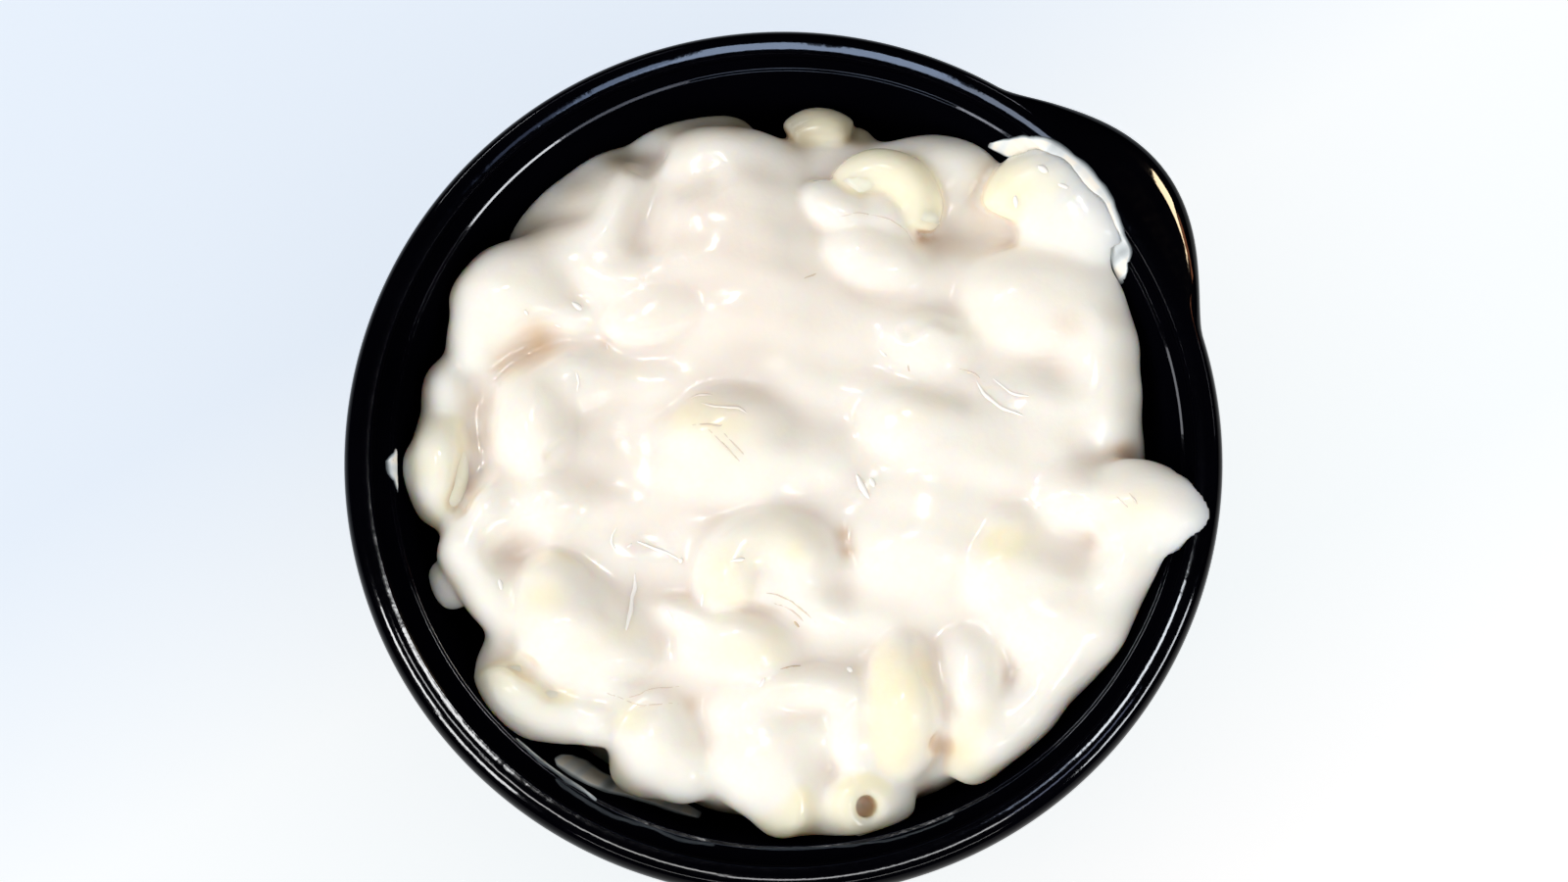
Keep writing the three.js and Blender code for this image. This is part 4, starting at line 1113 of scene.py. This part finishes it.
def build_threads(field, material):
    """Tapering tubes that lie half sunk in the food's surface."""
    vertices, faces, string_and_crease_browns = [], [], []
    sides = THREAD_SIDES
    for radius, brown, way in THREADS:
        way = np.array(way, float)
        along = np.concatenate([[0], np.cumsum(np.hypot(*np.diff(way, axis=0).T))])
        steps = max(6, int(along[-1] / THREAD_STEP))
        places = np.linspace(0, along[-1], steps + 1)
        x, y = np.interp(places, along, way[:, 0]), np.interp(places, along, way[:, 1])
        for _ in range(3):
            x[1:-1], y[1:-1] = (x[:-2] + 2 * x[1:-1] + x[2:]) / 4, (y[:-2] + 2 * y[1:-1] + y[2:]) / 4
        sway = ripple(x, y, 0.0, 2.4, 23)
        x, y = x + 0.10 * sway, y - 0.08 * sway
        z = surface_height(field, x, y)
        z[1:-1] = (z[:-2] + 2 * z[1:-1] + z[2:]) / 4
        line = np.stack([x, y, z], 1)
        first = len(vertices)
        for step in range(steps + 1):
            ahead = line[min(step + 1, steps)] - line[max(step - 1, 0)]
            ahead /= np.linalg.norm(ahead)
            aside = np.cross(ahead, (0, 0, 1.0))
            aside /= max(np.linalg.norm(aside), 1e-6)
            up = np.cross(aside, ahead)
            share = step / steps
            thick = radius * (0.15 + 0.85 * math.sin(math.pi * share) ** 0.5) * (1 + 0.2 * float(sway[step]))
            for side in range(sides):
                turn = 2 * math.pi * side / sides
                lift = 0.75 * math.sin(turn) - 0.1
                vertices.append(line[step] + aside * thick * math.cos(turn) + up * thick * lift)
                string_and_crease_browns.append(brown)
        for step in range(steps):
            for side in range(sides):
                a, b = first + step * sides + side, first + step * sides + (side + 1) % sides
                faces.append((a, a + sides, b + sides, b))
        faces.append([first + side for side in range(sides)])
        faces.append([first + steps * sides + side for side in range(sides)][::-1])
    obj = mesh_object("sauce_threads", vertices, faces, material)
    point_values(obj, "pit", string_and_crease_browns)
    return obj


def tube_mesh(elbow, sides=22, steps=18):
    """A bored elbow with cut ends: outside, inside and two rings."""
    vertices, faces = [], []
    for radius in (elbow.pasta, elbow.bore):
        for step in range(steps + 1):
            angle = elbow.half * (2 * step / steps - 1)
            out = elbow.inward * math.cos(angle) * -1 + elbow.along * math.sin(angle)
            for side in range(sides):
                turn = 2 * math.pi * side / sides
                over, aside = radius * math.cos(turn), radius * math.sin(turn)
                vertices.append(elbow.point(angle) + out * over + elbow.side * aside)
    layer = (steps + 1) * sides
    for shell in (0, 1):
        for step in range(steps):
            for side in range(sides):
                a = shell * layer + step * sides + side
                b = shell * layer + step * sides + (side + 1) % sides
                quad = (a, b, b + sides, a + sides)
                faces.append(quad if shell == 0 else quad[::-1])
    for row in (0, steps):
        for side in range(sides):
            a, b = row * sides + side, row * sides + (side + 1) % sides
            quad = (a, a + layer, b + layer, b)
            faces.append(quad if row == 0 else quad[::-1])
    return vertices, faces


def build_macaroni(elbows, material):
    """The bare elbows. Nothing holds them inside free_radius, so two of them pass the bowl's wall."""
    vertices, faces = [], []
    for elbow in elbows:
        points, quads = tube_mesh(elbow)
        faces += [tuple(i + len(vertices) for i in quad) for quad in quads]
        vertices += points
    obj = mesh_object("macaroni", vertices, faces, material)
    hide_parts("mac_and_cheese")
    return obj


# ---- the stage ----
def camera_place():
    """Where the camera is, in millimetres, and the way it looks from there."""
    lift = radians(CAMERA_ELEVATION)
    back = Vector((0, -math.cos(lift), math.sin(lift)))
    return Vector(CAMERA_TARGET) + back * CAMERA_DISTANCE, -back


def camera():
    data = bpy.data.cameras.new("camera")
    data.lens = CAMERA_LENS
    data.sensor_width = SENSOR_WIDTH
    obj = bpy.data.objects.new("camera", data)
    place, way = camera_place()
    obj.location = place * MM
    obj.rotation_euler = way.to_track_quat("-Z", "Y").to_euler()
    bpy.context.collection.objects.link(obj)
    bpy.context.scene.camera = obj


def add_light(name, width, depth, strength, colour, kind, receivers):
    """A box light in metres, as bright all over as its strength, still to be placed."""
    data = bpy.data.lights.new(name, "AREA")
    data.shape = "RECTANGLE"
    data.size, data.size_y = width, depth
    data.energy = strength * math.pi * width * depth
    data.color = colour
    obj = bpy.data.objects.new(name, data)
    obj.visible_glossy = kind != "soft"
    obj.visible_diffuse = kind == "soft"
    obj.light_linking.receiver_collection = receivers[kind]
    bpy.context.collection.objects.link(obj)
    return obj


def area_light(name, azimuth, elevation, distance, width, depth, strength, colour, kind, receivers):
    obj = add_light(name, width, depth, strength, colour, kind, receivers)
    a, e = radians(azimuth), radians(elevation)
    way = Vector((math.cos(e) * math.cos(a), math.cos(e) * math.sin(a), math.sin(e)))
    obj.location = Vector((0, 0, HEIGHT * MM)) + way * distance
    obj.rotation_euler = (-way).to_track_quat("-Z", "Y").to_euler()


def rim_light(name, start, end, near, far, strength, colour, receivers):
    """Boxes overhead, side by side along an arc about the place where a level mirror shows the camera."""
    eye, _ = camera_place()
    middle = Vector((-eye.x, -eye.y)) * RIM_LIGHT_HEIGHT / (eye.z - HEIGHT)
    count = math.ceil((end - start) / RIM_LIGHT_SPAN)
    for step in range(count):
        half = radians((end - start) / count / 2)
        turn = radians(start) + half * (2 * step + 1)
        reach = (near + far) / 2
        width = 2 * reach * math.tan(half)
        obj = add_light(f"{name}_{step}", width * MM, (far - near) * MM, strength, colour, "rim", receivers)
        x, y = middle.x + reach * math.cos(turn), middle.y + reach * math.sin(turn)
        obj.location = Vector((x, y, HEIGHT + RIM_LIGHT_HEIGHT)) * MM
        obj.rotation_euler = (0, 0, turn - math.pi / 2)


def light_all(pieces):
    """All the lights, those of a kind that is in the dictionary on its pieces alone."""
    receivers = {}
    for kind, lit in pieces.items():
        receivers[kind] = bpy.data.collections.new("lit_by_" + kind)
        for piece in lit:
            receivers[kind].objects.link(piece)
    for settings in LIGHTS:
        area_light(*settings, receivers)
    for settings in RIM_LIGHTS:
        rim_light(*settings, receivers)


def studio_sky(tree):
    """Light from all round, warm and even at the sides and dimmer overhead."""
    sky = tree.nodes["Background"]
    direction = tree.nodes.new("ShaderNodeTexCoord")
    split = tree.nodes.new("ShaderNodeSeparateXYZ")
    ramp = tree.nodes.new("ShaderNodeValToRGB")
    tree.links.new(direction.outputs["Generated"], split.inputs[0])
    tree.links.new(split.outputs["Z"], ramp.inputs["Fac"])
    tree.links.new(ramp.outputs["Color"], sky.inputs["Color"])
    first, last = ramp.color_ramp.elements
    first.position, first.color = 0.45, (1.0, 0.955, 0.915, 1)
    last.position, last.color = 0.9, (0.30, 0.29, 0.30, 1)
    sky.inputs["Strength"].default_value = SKY_STRENGTH


def stage():
    """The floor and the sky. The sky isn't mirrored, so that the black plastic shows the lights alone."""
    floor = bpy.data.meshes.new("floor")
    corners = [(x * FLOOR_HALF, y * FLOOR_HALF, 0) for x, y in ((-1, -1), (1, -1), (1, 1), (-1, 1))]
    floor.from_pydata(corners, [], [(0, 1, 2, 3)])
    obj = bpy.data.objects.new("floor", floor)
    bpy.context.collection.objects.link(obj)
    floor.materials.append(floor_material())
    world = bpy.data.worlds.new("studio")
    bpy.context.scene.world = world
    world.use_nodes = True
    studio_sky(world.node_tree)
    world.cycles_visibility.glossy = False
    bpy.context.scene.view_settings.view_transform = "Standard"


camera()
stage()
elbow_shapes = [Elbow(**settings) for settings in ELBOWS]
lump_shapes = [Lump(*settings) for settings in LUMPS]
bowl = build_bowl(black_plastic())
food = food_field(elbow_shapes, lump_shapes)
threads = build_threads(food, thread_sauce())
sauce = build_food(food, elbow_shapes, cheese_sauce())
macaroni = build_macaroni(elbow_shapes, bare_pasta())
films = build_films(film_sauce())
edible = [sauce, threads, macaroni, films]
light_all({"rim": [bowl], "wet": edible, "soft": [bowl] + edible})

bpy.context.view_layer.update()
